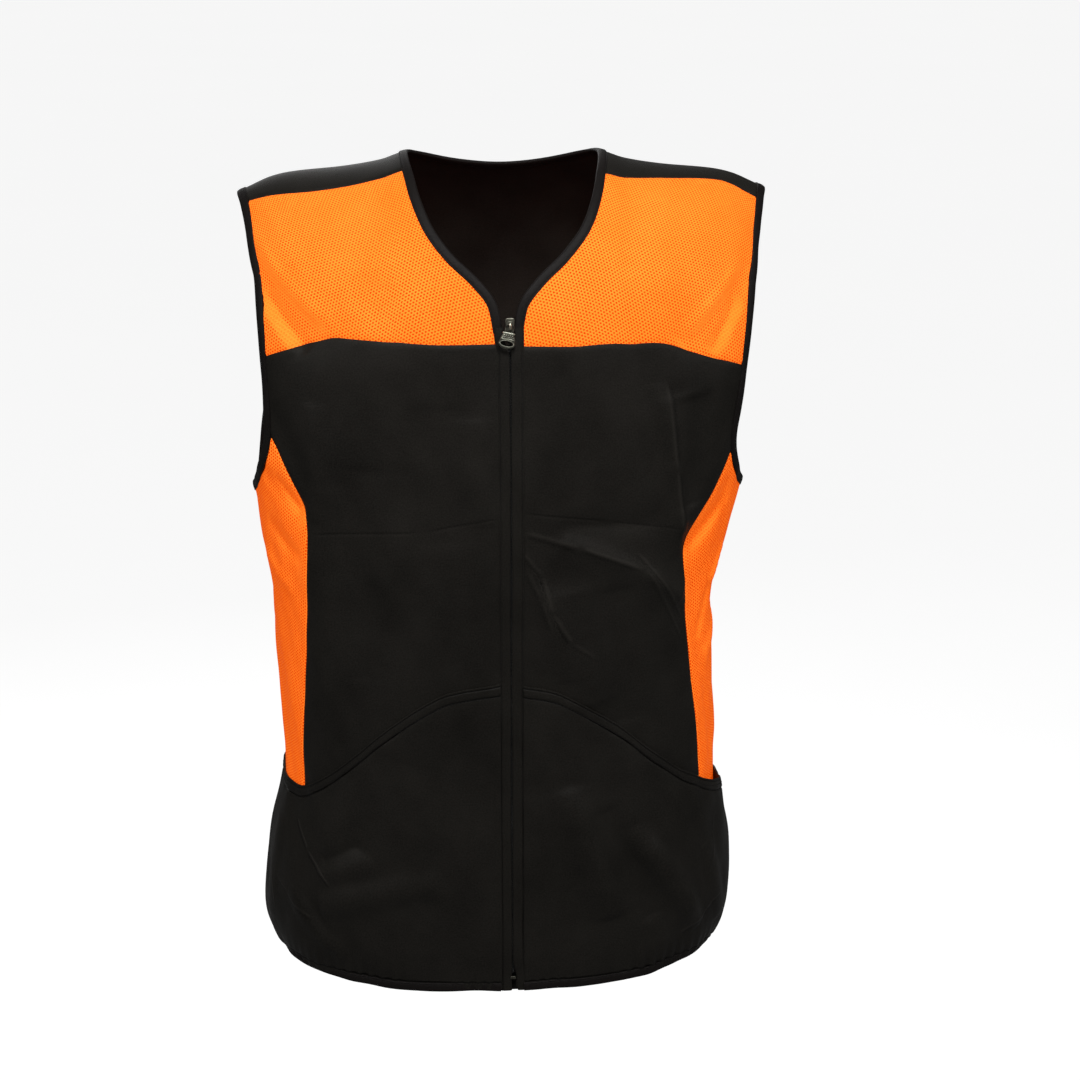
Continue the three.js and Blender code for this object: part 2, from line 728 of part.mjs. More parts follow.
function frontGrid({ yoke, sideSeam, armholeInner, zip, hem }, side) {
  const top = inset(yoke, side * HALF_GAP);
  const seam = inset(sideSeam, side * HALF_GAP);
  const armhole = part(armholeInner, 0, 0.5);
  const [topIn, zipTop] = meet(top, zip);
  const [topOut, armTop] = meet(top, armhole);
  const [armFoot, seamTop] = meet(armhole, seam);
  const [seamFoot, footOut] = meet(seam, hem);
  const [zipFoot, footIn] = meet(zip, hem);
  return patch({
    top: part(top, topIn, topOut),
    bottom: part(hem, footIn, footOut),
    inner: part(zip, zipTop, zipFoot),
    outer: joined(part(armhole, armTop, armFoot), ARMPIT_ROWS, part(seam, seamTop, seamFoot), SEAM_ROWS),
  }, ACROSS, ARMPIT_ROWS + SEAM_ROWS);
}

function sideGrid({ sideSeam, backSeam, armholeInner, hem }, side) {
  const front = inset(sideSeam, -side * HALF_GAP);
  const back = inset(backSeam, side * HALF_GAP);
  const [armFront, frontTop] = meet(part(armholeInner, 0, 0.5), front);
  const [armBack, backTop] = meet(part(armholeInner, 0.5, 1), back);
  const [frontFoot, footFront] = meet(front, hem);
  const [backFoot, footBack] = meet(back, hem);
  return patch({
    top: part(armholeInner, armFront / 2, 0.5 + armBack / 2),
    bottom: part(hem, footFront, footBack),
    inner: part(front, frontTop, frontFoot),
    outer: part(back, backTop, backFoot),
  }, SIDE_COLUMNS, SEAM_ROWS);
}

function backGrid({ shoulder, backSeam, neck, armholeInnerBehind: armhole, hem: hemAhead }, side) {
  const top = inset(shoulder, -side * HALF_GAP);
  const seam = fromBehind(inset(backSeam, -side * HALF_GAP), side);
  const hem = fromBehind(hemAhead, side);
  const [topIn, neckTop] = meet(top, neck);
  const [topOut, armTop] = meet(top, armhole);
  const [armFoot, seamTop] = meet(armhole, seam);
  const [seamFoot, footOut] = meet(seam, hem);
  const rows = BACK_ARMHOLE_ROWS + SEAM_ROWS;
  const upper = part(armhole, armTop, armFoot);
  return patch({
    top: part(top, topIn, topOut),
    bottom: part(hem, 1, footOut),
    inner: joined(part(neck, neckTop, 1), NECK_ROWS, spine, rows - NECK_ROWS),
    outer: joined(upper, BACK_ARMHOLE_ROWS, part(seam, seamTop, seamFoot), SEAM_ROWS),
  }, ACROSS, rows);
}

function pocketGrid({ backSeam, bandEdge, mouth, hem }, side) {
  const back = inset(backSeam, side * HALF_GAP);
  const [frontTop, mouthFront] = meet(bandEdge, mouth);
  const [backTop, mouthBack] = meet(back, mouth);
  const [frontFoot, footFront] = meet(bandEdge, hem);
  const [backFoot, footBack] = meet(back, hem);
  return patch({
    top: part(mouth, mouthFront, mouthBack),
    bottom: part(hem, footFront, footBack),
    inner: part(bandEdge, frontTop, frontFoot),
    outer: part(back, backTop, backFoot),
  }, POCKET_COLUMNS, POCKET_ROWS);
}

function pocketLift(place) {
  const angle = Math.abs(place.x / DEGREE);
  const { z } = surface(place);
  const share = lookUp(POCKET_SPREAD, 'angle', 'share', angle);
  return POCKET_SEAT + Math.max(share, 0) * Math.max(lookUp(POCKET_BELLY, 'level', 'lift', z), 0);
}

// Upright strip of the zip between two distances from the centre line
function zipStrip(inner, outer, { lift, thick }, top, foot) {
  const rows = Math.max(1, Math.round((top - foot) / ZIP_STEP));
  const near = plumbPath(inner, top, foot);
  const far = plumbPath(outer, top, foot);
  const grid = Array.from({ length: rows + 1 }, (_, j) => [near(j / rows), far(j / rows)]);
  return clothGeometry([grid], lift, thick);
}

// Solids of manifold-3d made from three.js geometry and back
const wasm = await Module();
wasm.setup();

function solidOf(geometry) {
  const bare = geometry.clone();
  bare.deleteAttribute('normal');
  bare.deleteAttribute('uv');
  const merged = mergeVertices(bare.index ? bare.toNonIndexed() : bare);
  return new wasm.Manifold(new wasm.Mesh({
    numProp: 3,
    vertProperties: new Float32Array(merged.attributes.position.array),
    triVerts: new Uint32Array(merged.index.array),
  }));
}

function geometryOf(solid) {
  const mesh = solid.getMesh();
  const geometry = new THREE.BufferGeometry();
  geometry.setAttribute('position', new THREE.BufferAttribute(mesh.vertProperties, 3));
  geometry.setIndex(new THREE.BufferAttribute(mesh.triVerts, 1));
  geometry.computeVertexNormals();
  return geometry;
}

function slab(width, low, high, top, length) {
  return new THREE.BoxGeometry(width, high - low, length).translate(0, -(low + high) / 2, top - length / 2);
}

// Slider in its own frame: X sideways, -Y out of the cloth, Z up, origin on the cloth's face
function sliderGeometry() {
  const { half, length, plate, front, back, post, postLength, postInset } = SLIDER;
  const top = length / 2;
  const face = front + plate;
  const outline = new THREE.Shape();
  outline.absarc(0, 0, BAIL.outer, 0, Math.PI, false);
  outline.lineTo(-BAIL.outer, -BAIL.clearance - plate / 2);
  outline.lineTo(-BAIL.inner, -BAIL.clearance - plate / 2);
  outline.lineTo(-BAIL.inner, 0);
  outline.absarc(0, 0, BAIL.inner, Math.PI, 0, true);
  outline.lineTo(BAIL.inner, -BAIL.clearance - plate / 2);
  outline.lineTo(BAIL.outer, -BAIL.clearance - plate / 2);
  const bail = new THREE.ExtrudeGeometry(outline, {
    depth: 2 * BAIL.half, bevelEnabled: false, curveSegments: BAIL.segments,
  });
  bail.translate(0, 0, -BAIL.half);
  const upright = new THREE.Vector3(0, 0, 1);
  const outward = new THREE.Vector3(0, -1, 0);
  const sideways = new THREE.Vector3(1, 0, 0);
  bail.applyMatrix4(new THREE.Matrix4().makeBasis(upright, outward, sideways));
  bail.translate(0, -face - BAIL.clearance, 0);
  const pieces = [
    slab(2 * half, front, face, top, length),
    slab(2 * half, back, back + plate, top, length),
    slab(2 * post, back + plate / 2, front + plate / 2, top - postInset, postLength),
    bail,
  ];
  return geometryOf(pieces.map(solidOf).reduce((whole, next) => whole.add(next)));
}

// Pull tab about its crossbar: X along the bar, Z up, so that the tab hangs towards -Z
function pullGeometry() {
  const { thick, bar, eyeHalf, armHalf, eyeLength, armLength, collarHalf, collarAt } = PULL;
  const { footHalf, footRise, footRound, length } = PULL;
  const outline = new THREE.Shape();
  outline.moveTo(-armHalf, bar);
  outline.lineTo(-armHalf, -armLength);
  outline.lineTo(-collarHalf, -collarAt);
  outline.lineTo(-footHalf, footRise - length);
  outline.bezierCurveTo(-footHalf, footRound - length, -footHalf / 2, -length, 0, -length);
  outline.bezierCurveTo(footHalf / 2, -length, footHalf, footRound - length, footHalf, footRise - length);
  outline.lineTo(collarHalf, -collarAt);
  outline.lineTo(armHalf, -armLength);
  outline.lineTo(armHalf, bar);
  const eye = new THREE.Path();
  eye.moveTo(-eyeHalf, -bar);
  eye.lineTo(eyeHalf, -bar);
  eye.lineTo(eyeHalf, -eyeLength);
  eye.lineTo(-eyeHalf, -eyeLength);
  const middle = -(PULL.slotTop + PULL.slotFoot) / 2;
  const rise = (PULL.slotFoot - PULL.slotTop) / 2;
  const slotPoints = Array.from({ length: PULL.slotSides }, (_, i) => {
    const turn = 2 * Math.PI * i / PULL.slotSides;
    return new THREE.Vector2(PULL.slotHalf * Math.cos(turn), middle + rise * Math.sin(turn));
  });
  const slot = new THREE.Path(slotPoints);
  outline.holes.push(eye, slot);
  const tab = new THREE.ExtrudeGeometry(outline, {
    depth: thick, bevelEnabled: false, curveSegments: PULL.segments,
  });
  tab.translate(0, 0, -thick / 2);
  return tab.rotateX(Math.PI / 2);
}

// Panels, pockets and front bands of both halves
const halves = [['left', 1], ['right', -1]].map(([label, side]) => ({ label, side, paths: pathsOf(side) }));
addMesh('back_panel', clothGeometry(halves.map(({ paths, side }) => backGrid(paths, side)), -CLOTH, CLOTH),
  MATERIALS.smooth);
for (const { label, side, paths } of halves) {
  addMesh(`yoke_${label}`, clothGeometry([yokeGrid(paths, side)], -CLOTH, CLOTH), MATERIALS.mesh);
  addMesh(`front_panel_${label}`, clothGeometry([frontGrid(paths, side)], -CLOTH, CLOTH), MATERIALS.smooth);
  addMesh(`side_panel_${label}`, clothGeometry([sideGrid(paths, side)], -CLOTH, CLOTH), MATERIALS.mesh);
  addMesh(`pocket_${label}`, clothGeometry([pocketGrid(paths, side)], pocketLift, CLOTH), MATERIALS.smooth);
  const band = zipStrip(side * BAND.inner, side * BAND.outer, BAND, ZIP_TOP, ZIP_FOOT);
  addMesh(`zip_band_${label}`, band, MATERIALS.smooth);
  const tape = zipStrip(side * TAPE.inner, side * TAPE.outer, TAPE, ZIP_TOP, ZIP_FOOT);
  addMesh(`zip_tape_${label}`, tape, MATERIALS.tape);
  const binding = stripGeometry(paths.armhole, bindingSection(BINDING_PROUD), ARMHOLE_STEPS, true, side);
  addMesh(`armhole_binding_${label}`, binding, MATERIALS.binding);
}

// Neck binding from the zip round the nape and back, and hem binding round the whole foot
const neckStrip = stripGeometry(neckLoop, bindingSection(BINDING_PROUD), NECK_STEPS, false, 1);
addMesh('neck_binding', neckStrip, MATERIALS.binding);
const hemStrip = stripGeometry(hemBindingPath(), bindingSection(HEM_PROUD), HEM_STEPS, false, -1);
addMesh('hem_binding', hemStrip, MATERIALS.binding);

// Zip chain with its bottom stop, then the slider and its pull
addMesh('zip_chain', zipStrip(-CHAIN.half, CHAIN.half, CHAIN, CHAIN.top, CHAIN.foot), MATERIALS.moulded);
addMesh('zip_stop', zipStrip(-STOP.half, STOP.half, STOP, STOP.top, STOP.foot), MATERIALS.metal);
const head = new THREE.Group();
const seat = plumbPath(0, SLIDER.level, CHAIN.foot)(0);
const { normal: outwards } = frameAt(seat);
head.position.copy(surface(seat));
head.rotation.x = Math.atan2(-outwards.z, -outwards.y);
vest.add(head);
addMesh('zip_slider', sliderGeometry(), MATERIALS.metal, head);
const pull = addMesh('zip_pull', pullGeometry(), MATERIALS.metal, head);
pull.position.y = -SLIDER.front - SLIDER.plate - BAIL.clearance;
pull.rotation.y = THREE.MathUtils.degToRad(PULL.tilt);

export default vest;
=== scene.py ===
"""Looks of a sleeveless zip-front vest in the shape it has when worn.

Every size is in metres. +Z is up, the front faces -Y and the wearer's left side is +X. The cloth lies on
one body form: rings of a torso stacked by level and closed over the shoulders by a round roll. A place on
it is a point of a chart: degrees round the ring, counted as lengths, and the travel down from the shoulder
line, which is below zero behind that line.
"""

from __future__ import annotations

import logging
import math
from dataclasses import dataclass, field
from enum import Enum
from typing import Callable, Iterable, NamedTuple, Sequence

import bpy
import numpy as np
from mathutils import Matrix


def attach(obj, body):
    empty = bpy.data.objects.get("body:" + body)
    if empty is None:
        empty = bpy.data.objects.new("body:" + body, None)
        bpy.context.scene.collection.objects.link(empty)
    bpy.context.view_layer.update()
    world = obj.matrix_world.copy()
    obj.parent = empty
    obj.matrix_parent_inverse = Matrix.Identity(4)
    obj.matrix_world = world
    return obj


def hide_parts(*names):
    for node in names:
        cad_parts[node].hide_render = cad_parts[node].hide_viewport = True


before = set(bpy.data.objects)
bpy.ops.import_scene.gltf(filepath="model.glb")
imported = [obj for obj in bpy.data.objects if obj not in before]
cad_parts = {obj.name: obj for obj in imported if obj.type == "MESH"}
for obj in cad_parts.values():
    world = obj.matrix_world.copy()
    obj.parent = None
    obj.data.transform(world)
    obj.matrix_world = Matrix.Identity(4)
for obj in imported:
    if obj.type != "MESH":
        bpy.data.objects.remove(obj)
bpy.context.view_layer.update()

Array = np.ndarray
Tone = tuple[int, int, int]
Pair = tuple[float, float]
Triple = tuple[float, float, float]
Colour = tuple[float, float, float, float]
Solid = tuple[Array, list[Array]]
Piece = bpy.types.Object
Socket = bpy.types.NodeSocket
Material = bpy.types.Material
LOG = logging.getLogger("vest")
CLOTH = 0.0015
CELL = 0.0026
MOUTH_REACH = 0.016
STITCH_PITCH = 0.0031
STITCH_LENGTH = 0.0023
STITCH_SLOPE = 0.0005
THREAD_RADIUS = 0.00028
THREAD_FLATNESS = 0.8


class Side(Enum):
    """One half of the vest, with the sign of its angles."""

    LEFT = 1
    RIGHT = -1

    @property
    def label(self) -> str:
        """The half's name in piece names."""
        return self.name.lower()


class Edge(Enum):
    """An edge of a panel's grid."""

    TOP = "top"
    BOTTOM = "bottom"
    INNER = "inner"
    OUTER = "outer"


class Ring(NamedTuple):
    """Level ring of the body: sway shifts its middle sideways."""

    level: float
    half_width: float
    sway: float
    front: float
    back: float


class Ridge(NamedTuple):
    """Height of the shoulder line at a distance from the middle."""

    across: float
    level: float


class Fold(NamedTuple):
    """Ridge of the cloth, or a furrow where height is below zero, between two places by angle and level."""

    from_angle: float
    from_level: float
    to_angle: float
    to_level: float
    width: float
    height: float


class Knot(NamedTuple):
    """Place on an edge or seam, told for the left half: degrees round the ring and travel."""

    angle: float
    travel: float


class Mark(NamedTuple):
    """Place on a level line: degrees round the ring and level."""

    angle: float
    level: float


class Share(NamedTuple):
    """How much of the pocket's belly shows at an angle."""

    angle: float
    share: float


class Belly(NamedTuple):
    """How far the pocket stands off the cloth at a level."""

    level: float
    lift: float


class Ripple(NamedTuple):
    """One wave of the cloth's unevenness: its length along both chart directions, height and phase."""

    around: float
    down: float
    height: float
    phase: float


class Wave(NamedTuple):
    """Wave along a line whose phase wanders: its pitch, and the wander's size in radians and its length."""

    pitch: float
    wander: float
    wander_length: float

    def at(self, along: Array) -> Array:
        """Height of the wave, from -1 to 1, at distances along the line."""
        return np.sin(2 * math.pi * along / self.pitch + self.wander * np.sin(along / self.wander_length))


class Lamp(NamedTuple):
    """Square soft light: where it stands, what it faces, its side and its power in watts."""

    name: str
    place: Triple
    target: Triple
    size: float
    power: float


def rows(kind: Callable[..., tuple], *values: tuple) -> tuple:
    """Rows of one kind from their plain values."""
    return tuple(kind(*row) for row in values)


RINGS = rows(
    Ring, (-0.76, 0.194, -0.009, 0.125, 0.116), (-0.7, 0.194, -0.009, 0.125, 0.116),
    (-0.64, 0.193, -0.007, 0.124, 0.114), (-0.57, 0.189, -0.005, 0.122, 0.108),
    (-0.5, 0.188, -0.006, 0.121, 0.1), (-0.44, 0.188, -0.008, 0.122, 0.096),
    (-0.384, 0.19, -0.009, 0.124, 0.097), (-0.33, 0.197, -0.008, 0.126, 0.101),
    (-0.28, 0.206, -0.005, 0.127, 0.105), (-0.24, 0.216, -0.004, 0.127, 0.108),
    (-0.18, 0.225, -0.001, 0.125, 0.11), (-0.11, 0.228, 0, 0.121, 0.108), (-0.04, 0.227, 0, 0.116, 0.104),
    (0.04, 0.226, 0, 0.112, 0.1),
)
SHOULDER = rows(
    Ridge, (0, 0.002), (0.06, 0.002), (0.082, -0.001), (0.1, -0.007), (0.13, -0.012), (0.172, -0.016),
    (0.19, -0.02), (0.206, -0.027), (0.218, -0.033), (0.24, -0.044),
)
FOLDS = rows(
    Fold, (72, -0.362, 100, -0.372, 0.022, -0.005), (61, -0.276, 45, -0.312, 0.013, -0.004),
    (33, -0.185, 44, -0.315, 0.014, 0.0035), (12, -0.29, 33, -0.286, 0.012, -0.0025),
    (12, -0.303, 46, -0.357, 0.014, 0.003), (14, -0.345, 22, -0.44, 0.016, 0.003),
    (54, -0.09, 34, -0.142, 0.015, -0.003), (-58, -0.088, -34, -0.14, 0.015, -0.003),
    (-62, -0.255, -48, -0.28, 0.012, -0.003), (-42, -0.26, -48, -0.52, 0.022, 0.004),
    (-80, -0.352, -104, -0.366, 0.02, -0.004), (150, -0.33, 158, -0.62, 0.034, 0.005),
    (-152, -0.31, -160, -0.62, 0.036, 0.005), (-59, -0.058, -33, -0.13, 0.0068, 0.0028),
    (-53.5, -0.106, -41, -0.145, 0.0078, -0.0042), (-53, -0.118, -44, -0.147, 0.0058, 0.001),
    (-19.6, -0.021, -22, -0.09, 0.009, 0.002), (-26, -0.04, -27, -0.11, 0.012, -0.0014),
    (52, -0.08, 34, -0.136, 0.006, 0.003), (50, -0.113, 42, -0.149, 0.006, -0.003),
    (89, -0.262, 92, -0.345, 0.018, -0.0045), (86, -0.42, 92, -0.5, 0.03, 0.002),
    (24, -0.022, 21.8, -0.085, 0.01, -0.0022), (31, -0.03, 28, -0.1, 0.012, 0.0014),
    (28, -0.174, 34, -0.234, 0.005, 0.0027), (33, -0.222, 43, -0.312, 0.005, 0.0031),
    (38, -0.188, 43, -0.276, 0.012, -0.0037), (12, -0.287, 33, -0.291, 0.0035, -0.0008),
    (10, -0.296, 31, -0.328, 0.0055, 0.0019), (30, -0.327, 50, -0.366, 0.006, 0.0019),
    (9, -0.34, 15, -0.42, 0.008, 0.002), (26, -0.345, 30, -0.46, 0.014, -0.0026),
    (-6.5, -0.2, -4.8, -0.282, 0.01, 0.0019), (-13, -0.19, -11, -0.3, 0.013, -0.0017),
    (-39, -0.19, -42, -0.285, 0.009, 0.0022), (-30, -0.24, -33, -0.42, 0.018, -0.0027),
    (62, -0.281, 47, -0.316, 0.0035, -0.0024), (71, -0.327, 63, -0.354, 0.005, 0.0024),
    (63, -0.354, 59, -0.402, 0.0045, -0.0024), (78, -0.392, 66, -0.42, 0.008, 0.002),
    (-57, -0.253, -49, -0.279, 0.004, -0.002), (-68, -0.298, -51, -0.322, 0.008, -0.0024),
    (-75, -0.33, -58, -0.352, 0.008, 0.002), (-47, -0.604, -33, -0.583, 0.0085, 0.002),
    (-46, -0.626, -16, -0.6, 0.012, 0.004), (-47, -0.588, -36, -0.57, 0.008, -0.002),
    (-60, -0.622, -39, -0.672, 0.007, 0.0022), (-25, -0.49, -36, -0.575, 0.014, -0.0022),
    (14, -0.52, 24, -0.632, 0.012, 0.0062), (23, -0.54, 36, -0.64, 0.012, -0.0036),
    (31, -0.56, 53, -0.655, 0.009, 0.0058), (58, -0.59, 66, -0.66, 0.009, 0.0022),
    (-70, -0.57, -74, -0.655, 0.01, 0.002), (160, -0.07, 128, -0.17, 0.018, 0.0037),
    (-160, -0.07, -126, -0.175, 0.018, 0.0037), (168, -0.4, 138, -0.44, 0.016, -0.0034),
    (-166, -0.41, -136, -0.455, 0.016, -0.0034), (172, -0.47, 140, -0.5, 0.015, 0.0027),
    (-176, -0.48, -146, -0.505, 0.015, 0.0027),
)
RIPPLES = rows(
    Ripple, (0.117, 0.31, 0.00068, 0.4), (-0.083, 0.19, 0.00052, 2.1), (0.061, -0.124, 0.0004, 4.0),
    (0.043, 0.089, 0.00026, 1.2), (-0.031, 0.071, 0.00018, 5.3), (0.024, -0.052, 0.00012, 3.2),
)
FOLD_TAPER = 0.25
CREASE_TAPER = (0.7, 1.0)
CREASE_FADE = (0.004, 0.007)
CREASE_REACH = 0.010
CREASE_BACK = 0.020
# Pressed creases: the last column is a strength that raises a thin ridge in the bump and paints light along
# the crease, a highlight above zero and shade below, with the opposite beside it.
CREASES = rows(
    Fold, (35.4, -0.245, 29.7, -0.17, 0.0014, 0.7), (41.4, -0.3, 35.4, -0.245, 0.0014, 0.7),
    (3.4, -0.2745, 21.5, -0.2855, 0.0009, -0.4), (21.5, -0.2855, 41.0, -0.2962, 0.0009, -0.35),
    (4.0, -0.2913, 15.6, -0.3052, 0.0018, 0.7), (15.6, -0.3052, 31.0, -0.3268, 0.0014, 0.8),
    (28.8, -0.3107, 49.2, -0.3788, 0.0012, 0.6), (31.8, -0.326, 50.1, -0.3988, 0.0012, 0.4),
    (4.0, -0.3078, 8.5, -0.3288, 0.0013, 0.5), (8.5, -0.3288, 10.9, -0.3605, 0.0016, 0.8),
    (10.9, -0.3605, 15.6, -0.3877, 0.0015, 0.75), (15.6, -0.3877, 21.0, -0.4013, 0.0013, 0.4),
    (5.4, -0.3251, 8.4, -0.3478, 0.0013, 0.45), (8.4, -0.3478, 11.1, -0.377, 0.0013, 0.4),
    (-45.0, -0.2966, -15.5, -0.2906, 0.001, -0.4), (-15.5, -0.2906, -1.2, -0.278, 0.001, -0.4),
    (-77.5, -0.5574, -69.8, -0.6523, 0.0011, 0.7), (-60.8, -0.5572, -53.8, -0.5817, 0.0011, 1.0),
    (-53.8, -0.5817, -43.0, -0.609, 0.0011, 1.0), (-87.0, -0.633, -64.0, -0.678, 0.0012, 0.7),
    (-69.9, -0.6154, -49.0, -0.642, 0.0011, 0.5), (44.9, -0.6628, 66.0, -0.638, 0.0013, 0.7),
    (63.5, -0.5636, 60.3, -0.6078, 0.0011, 0.5),
)

NECK_EDGE = rows(
    Knot, (1.2, 0.221), (2.3, 0.197), (5.3, 0.178), (9.6, 0.157), (13, 0.132), (15.2, 0.1), (16.4, 0.066),
    (17.2, 0.032), (17.2, -0.004), (15.2, -0.04), (9, -0.066), (0, -0.076),
)
NECK_DRAWN = 0.65
ARMHOLE_FRONT = rows(
    Knot, (71, 0), (70.2, 0.025), (67, 0.062), (62.6, 0.115), (58.8, 0.16),
)
ARMHOLE_BACK = rows(
    Knot, (77, 0.324), (67, 0.304), (60, 0.272), (56.4, 0.23), (55.6, 0.18), (58, 0.125), (65, 0.062),
    (70, 0.025), (71, 0),
)
ARMHOLE_FOOT = {
    Side.LEFT: rows(
        Knot, (56.6, 0.2), (55.4, 0.24), (55.4, 0.272), (56.6, 0.293), (61, 0.309), (67, 0.319),
        (77, 0.327), (90, 0.331),
    ),
    Side.RIGHT: rows(
        Knot, (57, 0.2), (57, 0.24), (57.6, 0.27), (58.8, 0.288), (61.6, 0.301), (66.5, 0.311),
        (76, 0.3225), (90, 0.331),
    ),
}
SHOULDER_SEAM = {
    Side.LEFT: rows(
        Knot, (12, 0.066), (20, 0.0625), (24, 0.0565), (30, 0.0485), (37.5, 0.0435), (46, 0.042),
        (52, 0.0475), (56, 0.052), (64, 0.055), (72, 0.055),
    ),
    Side.RIGHT: rows(
        Knot, (12, 0.055), (22, 0.0555), (30, 0.0597), (39, 0.0633), (46, 0.063), (54, 0.059), (61, 0.0545),
        (72, 0.053),
    ),
}
YOKE_SEAM = {
    Side.LEFT: rows(
        Knot, (0, 0.232), (7.5, 0.233), (13, 0.2328), (18.4, 0.2288), (24.4, 0.2222), (28, 0.2205),
        (31.5, 0.2218), (36, 0.2265), (41, 0.2308), (46, 0.2335), (54, 0.236), (62, 0.238),
    ),
    Side.RIGHT: rows(
        Knot, (0, 0.2305), (11.4, 0.231), (17, 0.228), (23, 0.2192), (29, 0.2142), (33, 0.2122),
        (37, 0.2142), (43.6, 0.2185), (50, 0.2218), (62, 0.225),
    ),
}
SIDE_SEAM_FOOT = rows(
    Knot, (53, 0.475), (56.8, 0.53), (60.2, 0.594), (62, 0.67), (62, 0.79),
)
SIDE_SEAM = {
    Side.LEFT: rows(
        Knot, (57.8, 0.2925), (56.2, 0.3055), (53, 0.3315), (51.2, 0.3445), (48.9, 0.3575), (46.9, 0.3705),
        (45.5, 0.385), (45.8, 0.401), (49, 0.428),
    ),
    Side.RIGHT: rows(
        Knot, (57.5, 0.281), (54, 0.298), (49.3, 0.33), (46.3, 0.361), (46.7, 0.39), (49.2, 0.425),
    ),
}
BACK_SEAM_ANGLE = 112.0
BAND_WIDTH = {Side.LEFT: 1.03, Side.RIGHT: 0.94}
HEM_EDGE = rows(
    Mark, (0, -0.699), (20, -0.698), (40, -0.694), (60, -0.689), (90, -0.686), (120, -0.689), (150, -0.693),
    (180, -0.695),
)
POCKET_MOUTH = rows(
    Mark, (0, -0.4215), (11.3, -0.429), (16.8, -0.439), (22.8, -0.453), (29.4, -0.47), (36, -0.488),
    (43.5, -0.505), (51, -0.518),
)
POCKET_MOUTH_AT_HIP = {
    Side.LEFT: rows(Mark, (60, -0.530), (72, -0.540), (84, -0.547), (100, -0.549), (116, -0.546)),
    Side.RIGHT: rows(Mark, (60, -0.529), (72, -0.531), (90, -0.531), (116, -0.531)),
}
POCKET_SPREAD = rows(
    Share, (0, 0), (15, 0.12), (30, 0.28), (45, 0.5), (60, 0.8), (75, 1), (92, 1), (104, 0.6),
    (BACK_SEAM_ANGLE, 0),
)
POCKET_BELLY = rows(
    Belly, (-0.691, 0), (-0.67, 0.008), (-0.645, 0.0105), (-0.605, 0.0105), (-0.57, 0.0095),
    (-0.535, 0.0085), (-0.48, 0.004), (-0.42, 0.0025),
)


def cubic(s: Array, start: Array, end: Array, leaving: Array, reaching: Array) -> Array:
    """Cubic from start to end at shares s, with the slopes that it leaves and reaches them by."""
    ease = s * s * (3 - 2 * s)
    return start * (1 - ease) + end * ease + s * (1 - s) ** 2 * leaving + s * s * (s - 1) * reaching


class Table:
    """Rows of named columns, read between the rows on a cubic whose slopes are central differences."""

    def __init__(self, rows: Sequence[tuple]) -> None:
        """Keeps the rows, which come sorted by the first column, as columns."""
        names = rows[0]._fields
        self.columns = {name: np.array(values, float) for name, values in zip(names, zip(*rows))}
        self.key = self.columns[names[0]]

    def at(self, column: str, place: Array) -> Array:
        """Reads a column.

        Args:
            column: the column's name.
            place: values of the first column.

        Returns:
            The column's value at each place, held at the ends.
        """
        key, values = self.key, self.columns[column]
        slope = np.gradient(values)
        slope[1:-1] = (values[2:] - values[:-2]) / (key[2:] - key[:-2])
        slope[0] = (values[1] - values[0]) / (key[1] - key[0])
        slope[-1] = (values[-1] - values[-2]) / (key[-1] - key[-2])
        i = np.searchsorted(key[1:-1], place, side="left")
        span = key[i + 1] - key[i]
        s = np.clip((place - key[i]) / span, 0, 1)
        return cubic(s, values[i], values[i + 1], span * slope[i], span * slope[i + 1])


def unit(vectors: Array) -> Array:
    """Vectors of length one along the last axis."""
    return vectors / np.maximum(np.linalg.norm(vectors, axis=-1, keepdims=True), 1e-12)


def spans(line: Array) -> Array:
    """Distances from each point of a line, on the first axis, to the next."""
    return np.linalg.norm(np.diff(line, axis=0), axis=-1)


def distances(line: Array) -> Array:
    """Distance of each point of a line from its start, along the line."""
    return np.concatenate(((0.0,), np.cumsum(spans(line))))


def turns(count: int) -> Array:
    """Even angles round a circle."""
    return np.linspace(0, 2 * math.pi, count, endpoint=False)


def smooth_step(low: float, high: float, value: Array) -> Array:
    """Rises from 0 at low to 1 at high with level ends."""
    s = np.clip((value - low) / (high - low), 0, 1)
    return s * s * (3 - 2 * s)


